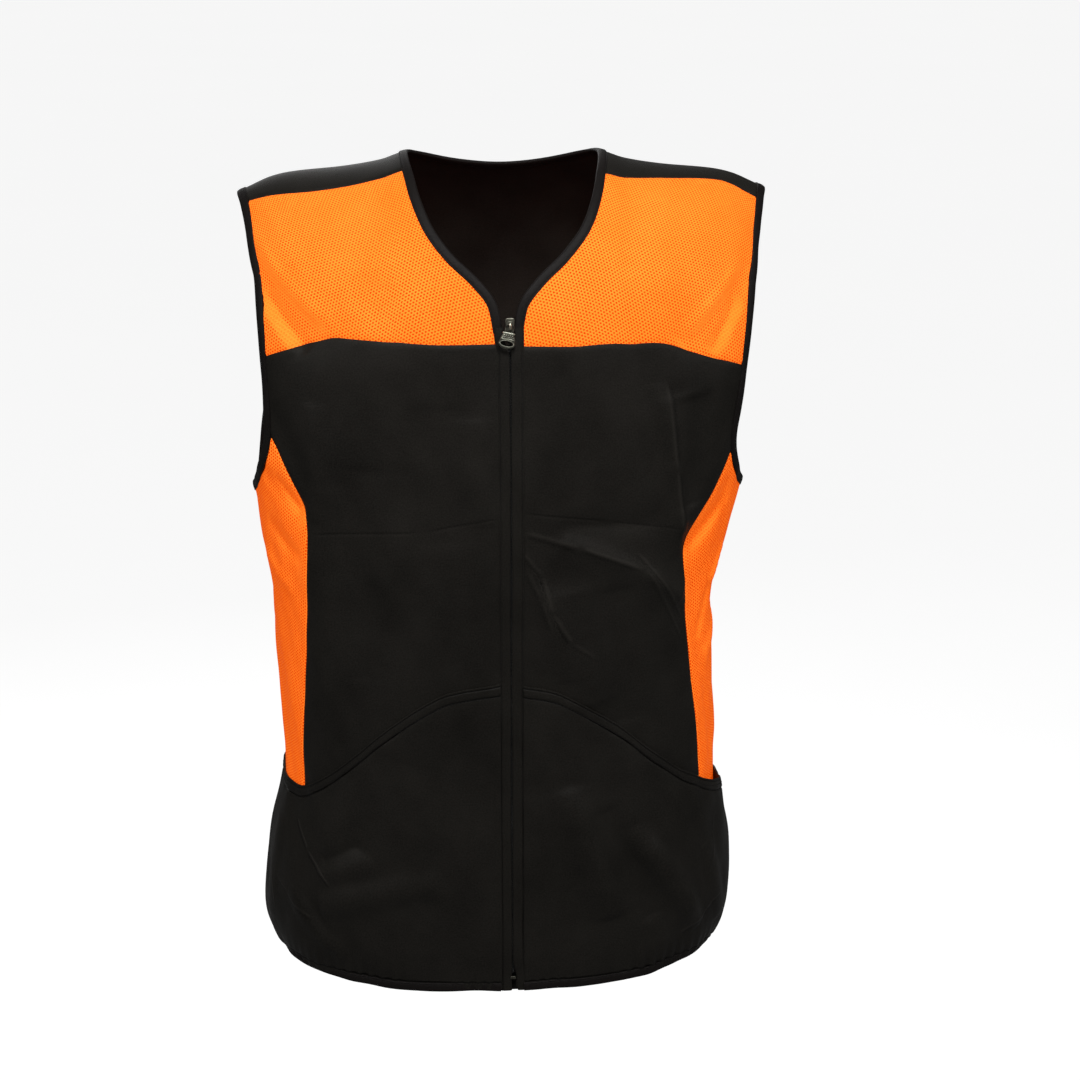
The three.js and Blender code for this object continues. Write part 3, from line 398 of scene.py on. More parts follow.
@dataclass(frozen=True)
class BodyForm:
    """The torso that the cloth lies on, as a function of the chart."""

    roll: float = 0.160
    squareness: float = 0.04
    ridge_half_width: float = 0.226
    sway_fade: float = 0.060
    degree: float = 0.003
    rings: Table = field(default_factory=lambda: Table(RINGS))
    shoulder: Table = field(default_factory=lambda: Table(SHOULDER))

    def chart(self, angle: Array, travel: Array) -> Array:
        """Chart places from degrees and travel."""
        return np.stack(np.broadcast_arrays(np.asarray(angle, float) * self.degree, travel), -1)

    def ring(self, angle: Array) -> tuple[Array, Array]:
        """Shares of half width and depth: sine and cosine, squared off by a third harmonic."""
        a = np.radians(angle)
        whole = 1 - self.squareness
        across = (np.sin(a) + self.squareness * np.sin(3 * a)) / whole
        ahead = (np.cos(a) - self.squareness * np.cos(3 * a)) / whole
        return across, ahead

    def ridge_level(self, across: Array) -> Array:
        """Level of the shoulder line at a share of the half width."""
        return self.shoulder.at("level", np.abs(across) * self.ridge_half_width)

    def travel_at(self, angle: Array, level: Array) -> Array:
        """Travel that reaches a level: an arc of the roll, then straight down."""
        drop = np.maximum(self.ridge_level(self.ring(angle)[0]) - level, 0)
        arc = self.roll * np.arccos(np.clip(1 - drop / self.roll, -1, 1))
        return np.where(drop < self.roll, arc, self.roll * math.pi / 2 + drop - self.roll)

    def beside(self, fold: Fold, angle: Array, level: Array) -> tuple[Array, Array, float]:
        """Places points against a fold's line on the flat chart.

        Args:
            fold: the fold.
            angle: degrees round the ring.
            level: level of each point.

        Returns:
            Distance along the line from its start, distance to its side, and the line's length.
        """
        run = np.array(((fold.to_angle - fold.from_angle) * self.degree, fold.to_level - fold.from_level))
        length = float(np.linalg.norm(run))
        x = (angle - fold.from_angle) * self.degree
        y = level - fold.from_level
        return (x * run[0] + y * run[1]) / length, (x * run[1] - y * run[0]) / length, length

    def fold_height(self, angle: Array, level: Array, folds: Iterable[Fold]) -> Array:
        """Sums bell-shaped ridges across fold lines, each tapered over its outer quarters.

        Args:
            angle: degrees round the ring.
            level: level of each point.
            folds: the folds.

        Returns:
            Height of the cloth at each point.
        """
        height = np.zeros(np.shape(angle))
        for fold in folds:
            along, aside, length = self.beside(fold, angle, level)
            taper = FOLD_TAPER * np.maximum(0, np.abs(along - length / 2) - length / 4)
            past = np.maximum(np.maximum(-along, along - length), 0) + taper
            height += fold.height * np.exp(-(aside**2 + 2 * past**2) / fold.width**2)
        return height

    def creases(self, angle: Array, level: Array) -> tuple[Array, Array]:
        """Reads the nearest pressed crease.

        Args:
            angle: degrees round the ring.
            level: level of each point.

        Returns:
            Distance to the crease's left or right in units of its width, and its strength, which fades
            towards the crease's ends and a few millimetres off it.
        """
        nearest = np.full(np.shape(angle), np.inf)
        aside = np.zeros(np.shape(angle))
        strength = np.zeros(np.shape(angle))
        for fold in CREASES:
            along, off, length = self.beside(fold, angle, level)
            reach = np.hypot(off, np.maximum(np.maximum(-along, along - length), 0))
            closer = reach < nearest
            taper = 1 - smooth_step(*CREASE_TAPER, np.abs(2 * along / length - 1))
            shown = fold.height * taper * (1 - smooth_step(*CREASE_FADE, reach))
            nearest = np.where(closer, reach, nearest)
            aside = np.where(closer, np.clip(off, -CREASE_REACH, CREASE_REACH) / fold.width, aside)
            strength = np.where(closer, shown, strength)
        return aside, strength

    def points(self, places: Array, folded: bool = True) -> Array:
        """Points of the cloth's outer face.

        The travel rolls over the shoulder on a quarter arc while the ring's depth grows with its sine, and
        the folds push the point out along the ring's normal.

        Args:
            places: chart places, with two values on the last axis.
            folded: whether folds and ripples are added.

        Returns:
            Points with three values on the last axis.
        """
        travel = np.abs(places[..., 1])
        shown = places[..., 0] / self.degree
        half_turn = np.where(shown < 0, -180.0, 180.0)
        angle = np.where(places[..., 1] < 0, half_turn - shown, shown)
        across, ahead = self.ring(angle)
        roll = np.minimum(travel / self.roll, math.pi / 2)
        drop = self.roll * (1 - np.cos(roll)) + np.maximum(travel - self.roll * math.pi / 2, 0)
        level = self.ridge_level(across) - drop
        half_width = self.rings.at("half_width", level)
        sway = self.rings.at("sway", level) * np.minimum(travel / self.sway_fade, 1)
        front, back = self.rings.at("front", level), self.rings.at("back", level)
        depth = np.where(ahead > 0, front, back) * np.sin(roll)
        found = np.stack((across * half_width + sway, -ahead * depth, level), -1)
        if folded:
            out = unit(np.stack((across * depth, -ahead * half_width), -1))
            turned = (angle + 540) % 360 - 180
            height = self.fold_height(turned, level, FOLDS)
            for ripple in RIPPLES:
                wave = shown * self.degree / ripple.around + places[..., 1] / ripple.down
                height += ripple.height * np.sin(2 * math.pi * wave + ripple.phase)
            found[..., :2] += out * (height * np.sin(roll))[..., None]
        return found

    def frames(self, places: Array, folded: bool = True) -> tuple[Array, Array, Array]:
        """The two chart directions on the cloth, by central differences, and the outward normal."""
        step = 0.0008
        right, down = np.array((step, 0.0)), np.array((0.0, step))
        around = (self.points(places + right, folded) - self.points(places - right, folded)) / (2 * step)
        along = (self.points(places + down, folded) - self.points(places - down, folded)) / (2 * step)
        return around, along, unit(np.cross(along, around))

    def surface(self, places: Array) -> tuple[Array, Array]:
        """Points of the cloth's outer face and its outward normals."""
        return self.points(places), self.frames(places)[2]

    def flat(self, places: Array, middle: float) -> Array:
        """Flat cloth coordinates.

        Args:
            places: chart places.
            middle: degrees of the upright line that the widths are counted from.

        Returns:
            Width along the level line from the middle, summed over chords, and height.
        """
        steps = np.linspace(0, 1, 17)
        start = middle * self.degree
        x = start + (places[..., 0] - start) * steps.reshape(-1, *([1] * (places.ndim - 1)))
        line = self.points(np.stack((x, np.broadcast_to(places[..., 1], x.shape)), -1), folded=False)
        length = spans(line).sum(0)
        return np.stack((np.sign(places[..., 0] - start) * length, -places[..., 1]), -1)


FORM = BodyForm()


class Path:
    """A line on the chart, read from 0 at its start to 1 at its end by length."""

    SAMPLES = 480

    def __init__(self, places: Array, joint: int | None = None) -> None:
        """Keeps the places, each one's share of the length, and the share of a joint in the line."""
        along = distances(places)
        self.places = places
        self.share = along / along[-1]
        self.corner = None if joint is None else float(self.share[joint])

    @classmethod
    def through(cls, knots: Array) -> Path:
        """A cubic through knots whose slope at each knot is half the step between its neighbours."""
        ends = np.concatenate((knots[:1], knots, knots[-1:]))
        slope = (ends[2:] - ends[:-2]) / 2
        t = np.linspace(0, len(knots) - 1, cls.SAMPLES)
        i = np.minimum(t.astype(int), len(knots) - 2)
        s = (t - i)[:, None]
        return cls(cubic(s, knots[i], knots[i + 1], slope[i], slope[i + 1]))

    def at(self, s: Array) -> Array:
        """Places at shares of the length."""
        return np.stack([np.interp(s, self.share, self.places[:, k]) for k in (0, 1)], -1)

    def part(self, start: float, end: float) -> Path:
        """The stretch between two shares, which may run backwards."""
        return Path(self.at(np.linspace(start, end, self.SAMPLES)))

    def then(self, other: Path) -> Path:
        """This line followed by another."""
        return Path(np.concatenate((self.places, other.places[1:])), joint=len(self.places) - 1)

    def spaced(self, cells: int) -> Array:
        """Places at even steps, shifted so that one of them lies on the joint."""
        if self.corner is None:
            return self.at(np.linspace(0, 1, cells + 1))
        first = min(max(round(self.corner * cells), 1), cells - 1)
        start = np.linspace(0, self.corner, first + 1)
        return self.at(np.concatenate((start, np.linspace(self.corner, 1, cells - first + 1)[1:])))

    def shifted(self, angle: float) -> Path:
        """The line turned round the body by degrees."""
        return Path(self.places + FORM.chart(angle, 0.0))

    def from_behind(self, side: Side) -> Path:
        """The line told as travel over the shoulder, on the far side of the ring."""
        turn = FORM.chart(side.value * 180.0, 0.0)
        return Path(turn - self.places)

    def inset(self, distance: float) -> Path:
        """The line moved sideways over the cloth by a real distance, through the metric of the chart."""
        s = np.linspace(0, 1, self.SAMPLES)
        places = self.at(s)
        run = np.gradient(places, axis=0)
        around, along, normal = FORM.frames(places, folded=False)
        heading = around * run[:, :1] + along * run[:, 1:]
        aside = unit(np.cross(heading, normal)) * distance
        steps = np.linalg.pinv(np.stack((around, along), -1)) @ aside[..., None]
        return Path(places + steps[..., 0])


def meet(first: Path, second: Path) -> Pair:
    """Shares of two lines at which they come closest, searched in ever narrower windows."""
    a = b = window = 0.5
    for _ in range(4):
        s = np.clip(a + window * np.linspace(-1, 1, 161), 0, 1)
        t = np.clip(b + window * np.linspace(-1, 1, 161), 0, 1)
        gaps = np.linalg.norm(first.at(s)[:, None] - second.at(t)[None], axis=-1)
        i, j = np.unravel_index(gaps.argmin(), gaps.shape)
        a, b = float(s[i]), float(t[j])
        window /= 40
    return a, b


Edges = dict[Edge, Path]
Reach = dict[Edge, Array]


def between(path: Path, start: Path, end: Path) -> Path:
    """The stretch of a line from where it meets one line to where it meets another."""
    return path.part(meet(path, start)[0], meet(path, end)[0])


def bounded(top: Path, bottom: Path, inner: Path, outer: Path) -> Edges:
    """The bounding lines of a panel by edge."""
    return dict(zip(Edge, (top, bottom, inner, outer)))


def plumb(aside: float | Array, top: float, foot: float) -> Path:
    """Line down the front at a distance sideways from the centre plane."""
    level = np.linspace(top, foot, Path.SAMPLES)
    across = (aside - FORM.rings.at("sway", level)) / FORM.rings.at("half_width", level)
    angle = np.degrees(across * (1 - FORM.squareness) / (1 + 3 * FORM.squareness))
    return Path(FORM.chart(angle, FORM.travel_at(angle, level)))


def level_line(marks: Sequence[Mark], side: Side) -> Path:
    """Line round the body whose level is read from a table of angles."""
    angle = np.linspace(marks[0].angle, marks[-1].angle, Path.SAMPLES)
    level = Table(marks).at("level", angle)
    return Path(FORM.chart(side.value * angle, FORM.travel_at(angle, level)))


def knots(rows: Sequence[Knot], side: Side) -> Array:
    """Chart places of a table's rows on one half."""
    return np.array([FORM.chart(side.value * row.angle, row.travel) for row in rows])


def whole_neck() -> Path:
    """Neck edge from the zip on the left half, round the nape, to the zip on the right half."""
    left = knots(NECK_EDGE, Side.LEFT)
    left[:, 0] -= NECK_DRAWN * FORM.degree * smooth_step(0.120, 0.200, left[:, 1])
    return Path.through(np.concatenate((left, knots(NECK_EDGE[-2::-1], Side.RIGHT))))


def whole_hem() -> Path:
    """Hem edge right round the body from the zip, by ring angles from 0 to 360."""
    far = tuple(Mark(360 - mark.angle, mark.level) for mark in HEM_EDGE[-2::-1])
    return level_line(HEM_EDGE + far, Side.LEFT)


@dataclass
class Cut:
    """The cutting lines of one half, with panels that run on under the bindings."""

    side: Side
    tuck: float = 0.003
    panel_edge: float = 0.0032
    zip_opening: float = 0.0034
    opening_levels: Pair = (-0.152, -0.134)
    band_edge: float = 0.0096
    pocket_lap: float = 3.2
    path_top: float = -0.080
    pocket_top: float = -0.380
    seam_top: float = -0.240
    path_foot: float = -0.720

    def __post_init__(self) -> None:
        """Works out every line once."""
        sign = self.side.value
        far_side = np.array([FORM.chart(sign * (180 - row.angle), row.travel) for row in ARMHOLE_BACK])
        over_back = np.array([FORM.chart(sign * row.angle, -row.travel) for row in ARMHOLE_BACK[::-1]])
        near_ridge = knots(ARMHOLE_FRONT[3:0:-1], self.side)
        front = knots(ARMHOLE_FRONT + ARMHOLE_FOOT[self.side], self.side)
        self.armhole = Path.through(np.concatenate((front, far_side)))
        self.armhole_inner = self.armhole.inset(sign * self.tuck)
        behind = Path.through(np.concatenate((near_ridge, over_back)))
        self.armhole_behind = behind.inset(-sign * self.tuck)
        neck = whole_neck().inset(self.tuck)
        hem = whole_hem().inset(-self.tuck)
        self.neck = neck.part(0, 0.5) if sign > 0 else neck.part(1, 0.5)
        self.hem = hem.part(0, 0.5) if sign > 0 else hem.part(1, 0.5).shifted(-360)
        nape, tail = neck.at(np.array(0.5)), hem.at(np.array(0.5))
        self.spine = Path(np.linspace((0.0, nape[1]), (0.0, -tail[1]), Path.SAMPLES))
        self.shoulder = Path.through(knots(SHOULDER_SEAM[self.side], self.side))
        self.yoke = Path.through(knots(YOKE_SEAM[self.side], self.side))
        self.side_seam = Path.through(knots(SIDE_SEAM[self.side] + SIDE_SEAM_FOOT, self.side))
        level = np.linspace(self.seam_top, self.path_foot, Path.SAMPLES)
        self.back_seam = Path(FORM.chart(sign * BACK_SEAM_ANGLE, FORM.travel_at(BACK_SEAM_ANGLE, level)))
        self.mouth = level_line(POCKET_MOUTH + POCKET_MOUTH_AT_HIP[self.side], self.side)
        level = np.linspace(self.path_top, self.path_foot, Path.SAMPLES)
        drawn = 0.0 if self.side is Side.RIGHT else NECK_DRAWN * FORM.degree
        aside = self.panel_edge + (self.zip_opening - drawn) * smooth_step(*self.opening_levels, level)
        self.zip = plumb(sign * aside, self.path_top, self.path_foot)
        self.band = plumb(sign * self.band_edge * BAND_WIDTH[self.side], self.pocket_top, self.path_foot)

    def yoke_edges(self) -> Edges:
        """Bounding lines of the yoke."""
        armhole = self.armhole_inner.part(0, 0.5)
        foot = between(self.yoke, self.zip, armhole)
        drop = Path(np.linspace(self.neck.places[0], foot.places[0], 40))
        return bounded(
            between(self.shoulder, self.neck, armhole),
            foot,
            self.neck.part(meet(self.neck, self.shoulder)[0], 0).then(drop),
            between(armhole, self.shoulder, self.yoke),
        )

    def front_edges(self) -> Edges:
        """Bounding lines of the lower front."""
        armhole = self.armhole_inner.part(0, 0.5)
        return bounded(
            between(self.yoke, self.zip, armhole),
            between(self.hem, self.zip, self.side_seam),
            between(self.zip, self.yoke, self.hem),
            between(armhole, self.yoke, self.side_seam).then(between(self.side_seam, armhole, self.hem)),
        )

    def side_edges(self) -> Edges:
        """Bounding lines of the side panel."""
        front, back = self.armhole_inner.part(0, 0.5), self.armhole_inner.part(0.5, 1)
        start, end = meet(front, self.side_seam)[0] / 2, 0.5 + meet(back, self.back_seam)[0] / 2
        return bounded(
            self.armhole_inner.part(start, end),
            between(self.hem, self.side_seam, self.back_seam),
            between(self.side_seam, front, self.hem),
            between(self.back_seam, back, self.hem),
        )

    def back_edges(self) -> Edges:
        """Bounding lines of one half of the back, told from behind."""
        armhole = self.armhole_behind
        seam, hem = self.back_seam.from_behind(self.side), self.hem.from_behind(self.side)
        return bounded(
            between(self.shoulder, self.neck, armhole),
            hem.part(1, meet(hem, seam)[0]),
            self.neck.part(meet(self.neck, self.shoulder)[0], 1).then(self.spine),
            between(armhole, self.shoulder, seam).then(between(seam, armhole, hem)),
        )

    def pocket_edges(self) -> Edges:
        """Bounding lines of the patch pocket."""
        back = self.back_seam.shifted(self.side.value * self.pocket_lap)
        return bounded(
            between(self.mouth, self.band, back),
            between(self.hem, self.band, back),
            between(self.band, self.mouth, self.hem),
            between(back, self.mouth, self.hem),
        )


def patch(edges: Edges, columns: int, rows: int) -> Array:
    """Coons patch: the two blends between facing lines, less the blend of the four corners.

    Args:
        edges: the four bounding lines, with top and bottom running from inner to outer.
        columns: cells from inner to outer.
        rows: cells from top to bottom.

    Returns:
        Chart places by row and column.
    """
    u, v = np.linspace(0, 1, columns + 1), np.linspace(0, 1, rows + 1)
    inner, outer = edges[Edge.INNER].spaced(rows), edges[Edge.OUTER].spaced(rows)
    corners = (inner[0], outer[0], inner[-1], outer[-1])

    def snapped(line: Array, start: Array, end: Array) -> Array:
        """The line with its ends moved onto the corners."""
        return line + (start - line[0]) * (1 - u)[:, None] + (end - line[-1]) * u[:, None]

    top = snapped(edges[Edge.TOP].at(u), corners[0], corners[1])
    bottom = snapped(edges[Edge.BOTTOM].at(u), corners[2], corners[3])
    s, t = u[None, :, None], v[:, None, None]
    blend = top[None] * (1 - t) + bottom[None] * t + inner[:, None] * (1 - s) + outer[:, None] * s
    near = corners[0] * (1 - t) + corners[2] * t
    far = corners[1] * (1 - t) + corners[3] * t
    return blend - near * (1 - s) - far * s


@dataclass
class MeshData:
    """Vertices, faces and flat coordinates that are gathered from arrays into one mesh."""

    vertices: list[Array] = field(default_factory=list)
    faces: list[Array] = field(default_factory=list)
    flat: list[Array] = field(default_factory=list)
    count: int = 0

    def add(self, vertices: Array, faces: Sequence[Array], flat: Array | None = None) -> None:
        """Adds one closed shell.

        Args:
            vertices: points, any shape with three values on the last axis.
            faces: arrays of vertex numbers, one array for each count of corners.
            flat: flat coordinates of the vertices, or none.
        """
        points = vertices.reshape(-1, 3)
        self.vertices.append(points)
        self.flat.append(np.zeros((len(points), 2)) if flat is None else flat.reshape(-1, 2))
        self.faces.extend(face + self.count for face in faces if len(face))
        self.count += len(points)

    def put(self, solid: Solid, point: Array, axes: Array) -> None:
        """Adds a closed shell, turned outwards, that is told in a frame with an origin and axes as rows."""
        points = point + solid[0] @ axes
        self.add(points, turned_out(points, solid[1]))

    @classmethod
    def of(cls, vertices: Array, faces: Sequence[Array], flat: Array | None = None) -> MeshData:
        """Mesh data of a single shell."""
        data = cls()
        data.add(vertices, faces, flat)
        return data

    def object(self, name: str, sharp: float = 50.0) -> Piece:
        """Makes the mesh object.

        Args:
            name: the piece's name.
            sharp: degrees past which an edge is shaded sharp.

        Returns:
            The object, linked to the scene.
        """
        mesh = bpy.data.meshes.new(name)
        points = np.concatenate(self.vertices).astype(np.float32)
        flat = np.concatenate(self.flat).astype(np.float32)
        corners = np.concatenate([face.ravel() for face in self.faces]).astype(np.int32)
        mesh.from_pydata(points, (), [corner for face in self.faces for corner in face.tolist()])
        mesh.shade_smooth()
        layer = mesh.uv_layers.new(name="flat")
        layer.data.foreach_set("uv", flat[corners].ravel())
        mesh.set_sharp_from_angle(angle=math.radians(sharp))
        mesh.validate()
        made = bpy.data.objects.new(name, mesh)
        bpy.context.scene.collection.objects.link(made)
        return made


def grid_quads(rows: int, columns: int, wrap: bool = False) -> Array:
    """Corner numbers of a grid's cells, row by row, with the columns closed into a ring if wrap is set."""
    i, j = np.meshgrid(np.arange(rows - 1), np.arange(columns if wrap else columns - 1), indexing="ij")
    k = (j + 1) % columns
    cells = (i * columns + j, (i + 1) * columns + j, (i + 1) * columns + k, i * columns + k)
    return np.stack(cells, -1).reshape(-1, 4)


def closed_tube(rings: Array, loop: bool = False) -> Solid:
    """Shell from rings of points.

    Args:
        rings: points by ring and place in the ring, which runs against the clock seen from the tube's start.
        loop: whether the last ring joins the first, or both ends are capped by a fan.

    Returns:
        The vertices and the faces.
    """
    count, sides = rings.shape[:2]
    if loop:
        return rings.reshape(-1, 3), [grid_quads(count + 1, sides, wrap=True) % (count * sides)]
    quads = grid_quads(count, sides, wrap=True)
    ends = np.stack((rings[0].mean(0), rings[-1].mean(0)))
    vertices = np.concatenate((rings.reshape(-1, 3), ends))
    here, step = np.arange(sides), (np.arange(sides) + 1) % sides
    base = (count - 1) * sides
    first = np.stack((np.full(sides, count * sides), here, step), -1)
    last = np.stack((np.full(sides, count * sides + 1), base + step, base + here), -1)
    return vertices, [quads, first, last]


def turned_out(vertices: Array, faces: list[Array]) -> list[Array]:
    """The faces of a closed shell, turned round if its signed volume is below zero."""
    volume = 0.0
    for face in faces:
        a, b, c = vertices[face[:, 0]], vertices[face[:, 1]], vertices[face[:, 2]]
        volume += np.einsum("ij,ij->", a, np.cross(b, c))
        if face.shape[1] == 4:
            volume += np.einsum("ij,ij->", a, np.cross(c, vertices[face[:, 3]]))
    return faces if volume > 0 else [face[:, ::-1] for face in faces]


def carried(rings: Array, across: Array, down: Array, loop: bool = False) -> MeshData:
    """Shell of a profile that is carried along a line.

    Args:
        rings: points by station and place in the profile.
        across: flat coordinate of each place in the profile.
        down: flat coordinate of each station.
        loop: whether the line is closed.

    Returns:
        The shell, turned outwards, with its flat coordinates.
    """
    vertices, faces = closed_tube(rings, loop)
    flat = np.stack(np.broadcast_arrays(across[None], down[:, None]), -1).reshape(-1, 2)
    caps = np.zeros((len(vertices) - len(flat), 2))
    return MeshData.of(vertices, turned_out(vertices, faces), np.concatenate((flat, caps)))


def bent(value: Array, power: float) -> Array:
    """The value's size raised to a power, with its sign kept."""
    return np.sign(value) * np.abs(value) ** power


def spindle(rings: int, sides: int) -> Solid:
    """Unit ball drawn out along X: rings of a circle whose radius follows a flattened half sine."""
    turn = np.linspace(0, math.pi, rings + 2)[1:-1]
    radius = np.sin(turn) ** 0.6
    around = turns(sides)
    points = np.empty((rings, sides, 3))
    points[..., 0] = -np.cos(turn)[:, None]
    points[..., 1] = radius[:, None] * np.cos(around)
    points[..., 2] = radius[:, None] * np.sin(around)
    vertices, faces = closed_tube(points)
    vertices[-2], vertices[-1] = (-1, 0, 0), (1, 0, 0)
    return vertices, turned_out(vertices, faces)


def scattered(shape: Solid, centres: Array, axes: Array) -> Solid:
    """Copies of a small shape.

    Args:
        shape: the unit shape's vertices and faces.
        centres: a centre for each copy.
        axes: for each copy, the three vectors that the unit shape's X, Y and Z become.

    Returns:
        The vertices and faces of all copies.
    """
    vertices, faces = shape
    points = centres[:, None] + np.einsum("vk,nkc->nvc", vertices, axes)
    shift = np.arange(len(centres))[:, None, None] * len(vertices)
    return points.reshape(-1, 3), [(face[None] + shift).reshape(-1, face.shape[1]) for face in faces]


class Nodes:
    """Short hand for filling a node tree."""

    def __init__(self, tree: bpy.types.NodeTree) -> None:
        """Starts on a tree."""
        self.tree = tree

    def fill(self, node: bpy.types.Node, inputs: dict) -> None:
        """Fills a node's sockets.

        Args:
            node: the node.
            inputs: socket names or numbers, with a value or the output socket that feeds each.
        """
        for name, value in inputs.items():
            if isinstance(value, Socket):
                self.tree.links.new(value, node.inputs[name])
            else:
                node.inputs[name].default_value = value

    def add(self, kind: str, inputs: dict | None = None, **settings: object) -> bpy.types.Node:
        """Adds a node.

        Args:
            kind: the node's type name without its ShaderNode prefix.
            inputs: what fills its sockets.
            settings: properties of the node, which are set before its sockets are filled.

        Returns:
            The node.
        """
        prefix = "" if kind.startswith("Node") else "ShaderNode"
        node = self.tree.nodes.new(prefix + kind)
        for name, value in settings.items():
            setattr(node, name, value)
        self.fill(node, inputs or {})
        return node

    def math(self, operation: str, *values: object) -> Socket:
        """Adds a Math node and gives its output."""
        return self.add("Math", dict(enumerate(values)), operation=operation).outputs[0]

    def scaled(self, value: object, factor: object, start: object) -> Socket:
        """Adds a value times a factor to a start."""
        return self.math("MULTIPLY_ADD", value, factor, start)

    def mix(self, factor: object, low: object, high: object) -> Socket:
        """Adds a mix of two colours and gives its output."""
        return self.add("Mix", {0: factor, 6: low, 7: high}, data_type="RGBA").outputs[2]

    def read(self, name: str) -> Socket:
        """Reads a value that is kept on the mesh's points."""
        return self.add("Attribute", attribute_name=name).outputs["Fac"]

    def group(self, tree: bpy.types.NodeTree, inputs: dict) -> bpy.types.Node:
        """Places a node group."""
        return self.add("Group", inputs, node_tree=tree)


def new_group(name: str, inputs: Sequence[str], outputs: Sequence[str]) -> tuple:
    """Makes an empty shader node group.

    Args:
        name: the group's name.
        inputs: names of the sockets that it takes in, all values but for one named Vector.
        outputs: names of the value sockets that it puts out.

    Returns:
        The tree, its node helper, the sockets that it takes in and its output node.
    """
    tree = bpy.data.node_groups.new(name, "ShaderNodeTree")
    for way, sockets in (("INPUT", inputs), ("OUTPUT", outputs)):
        for socket in sockets:
            kind = "NodeSocketVector" if socket == "Vector" else "NodeSocketFloat"
            tree.interface.new_socket(socket, in_out=way, socket_type=kind)
    nodes = Nodes(tree)
    return tree, nodes, nodes.add("NodeGroupInput").outputs, nodes.add("NodeGroupOutput")


def eyelet_group() -> bpy.types.NodeTree:
    """Group that puts out a staggered lattice of eyelets: 1 inside an eyelet, 0 on the knit between."""
    taken = ("Vector", "Column Pitch", "Row Pitch", "Radius", "Softness")
    tree, nodes, given, out = new_group("eyelet_lattice", taken, ("Eyelet",))
    split = nodes.add("SeparateXYZ", {0: given["Vector"]})
    reach = []
    for offset in (0.0, 0.5):
        legs = []
        for axis, pitch in (("X", "Column Pitch"), ("Y", "Row Pitch")):
            turns = nodes.math("DIVIDE", split.outputs[axis], given[pitch])
            cell = nodes.math("FRACT", nodes.math("ADD", turns, offset))
            legs.append(nodes.math("MULTIPLY", nodes.math("SUBTRACT", cell, 0.5), given[pitch]))
        squares = nodes.math("ADD", nodes.math("POWER", legs[0], 2.0), nodes.math("POWER", legs[1], 2.0))
        reach.append(nodes.math("SQRT", squares))
    nearest = nodes.math("MINIMUM", *reach)
    fade = nodes.add("MapRange", {
        "Value": nearest,
        "From Min": nodes.math("SUBTRACT", given["Radius"], given["Softness"]),
        "From Max": nodes.math("ADD", given["Radius"], given["Softness"]),
        "To Min": 1.0,
        "To Max": 0.0,
    }, interpolation_type="SMOOTHSTEP")
    nodes.fill(out, {"Eyelet": fade.outputs["Result"]})
    return tree


def weave_group() -> bpy.types.NodeTree:
    """Group that puts out a fine weave: the product of two crossed waves, broken up by noise."""
    tree, nodes, given, out = new_group("fine_weave", ("Vector", "Threads", "Slant"), ("Height", "Fuzz"))
    split = nodes.add("SeparateXYZ", {0: given["Vector"]})
    lean = nodes.math("MULTIPLY", split.outputs["Y"], given["Slant"])
    turn = nodes.math("MULTIPLY", given["Threads"], 2 * math.pi)
    warp = nodes.math("SINE", nodes.math("MULTIPLY", nodes.math("ADD", split.outputs["X"], lean), turn))
    weft = nodes.math("SINE", nodes.math("MULTIPLY", split.outputs["Y"], turn))
    scale = given["Threads"]
    fuzz = nodes.add("TexNoise", {"Vector": given["Vector"], "Scale": scale, "Detail": 4.0}).outputs["Fac"]
    half = nodes.scaled(nodes.math("MULTIPLY", warp, weft), 0.35, 0.5)
    nodes.fill(out, {"Height": nodes.scaled(fuzz, 0.6, half), "Fuzz": fuzz})
    return tree


def mottle_group() -> bpy.types.NodeTree:
    """Group that puts out a soft patchiness between 0 and 1, from large to small noise."""
    tree, nodes, given, out = new_group("soft_mottle", ("Vector", "Scale"), ("Patch",))
    noise = nodes.add("TexNoise", {
        "Vector": given["Vector"], "Scale": given["Scale"], "Detail": 5.0, "Roughness": 0.62,
    })
    spread = nodes.add("MapRange", {"Value": noise.outputs["Fac"], "From Min": 0.3, "From Max": 0.7})
    nodes.fill(out, {"Patch": spread.outputs["Result"]})
    return tree


def bell_group() -> bpy.types.NodeTree:
    """Group that puts out a bell: 1 where the value is at the centre, falling off over the width."""
    tree, nodes, given, out = new_group("bell_line", ("Value", "Centre", "Width"), ("Bell",))
    off = nodes.math("SUBTRACT", given["Value"], given["Centre"])
    share = nodes.math("DIVIDE", off, given["Width"])
    square = nodes.math("MULTIPLY", share, share)
    nodes.fill(out, {"Bell": nodes.math("EXPONENT", nodes.math("MULTIPLY", square, -1.0))})
    return tree


class Effects:
    """The shared node groups."""

    eyelets = eyelet_group()
    weave = weave_group()
    mottle = mottle_group()
    bell = bell_group()


def patchy(nodes: Nodes, scale: float) -> Socket:
    """Soft patchiness between 0 and 1, on Object coordinates."""
    place = nodes.add("TexCoord").outputs["Object"]
    return nodes.group(Effects.mottle, {"Vector": place, "Scale": scale}).outputs["Patch"]


def bell(nodes: Nodes, value: object, centre: float, width: float) -> Socket:
    """Bell of a value, 1 at the centre."""
    return nodes.group(Effects.bell, {"Value": value, "Centre": centre, "Width": width}).outputs["Bell"]


def linear(tone: Iterable[int]) -> Colour:
    """Scene-linear colour from display values of red, green and blue between 0 and 255."""
    shares = [value / 255 for value in tone]
    lit = [s / 12.92 if s <= 0.04045 else ((s + 0.055) / 1.055) ** 2.4 for s in shares]
    return (lit[0], lit[1], lit[2], 1.0)


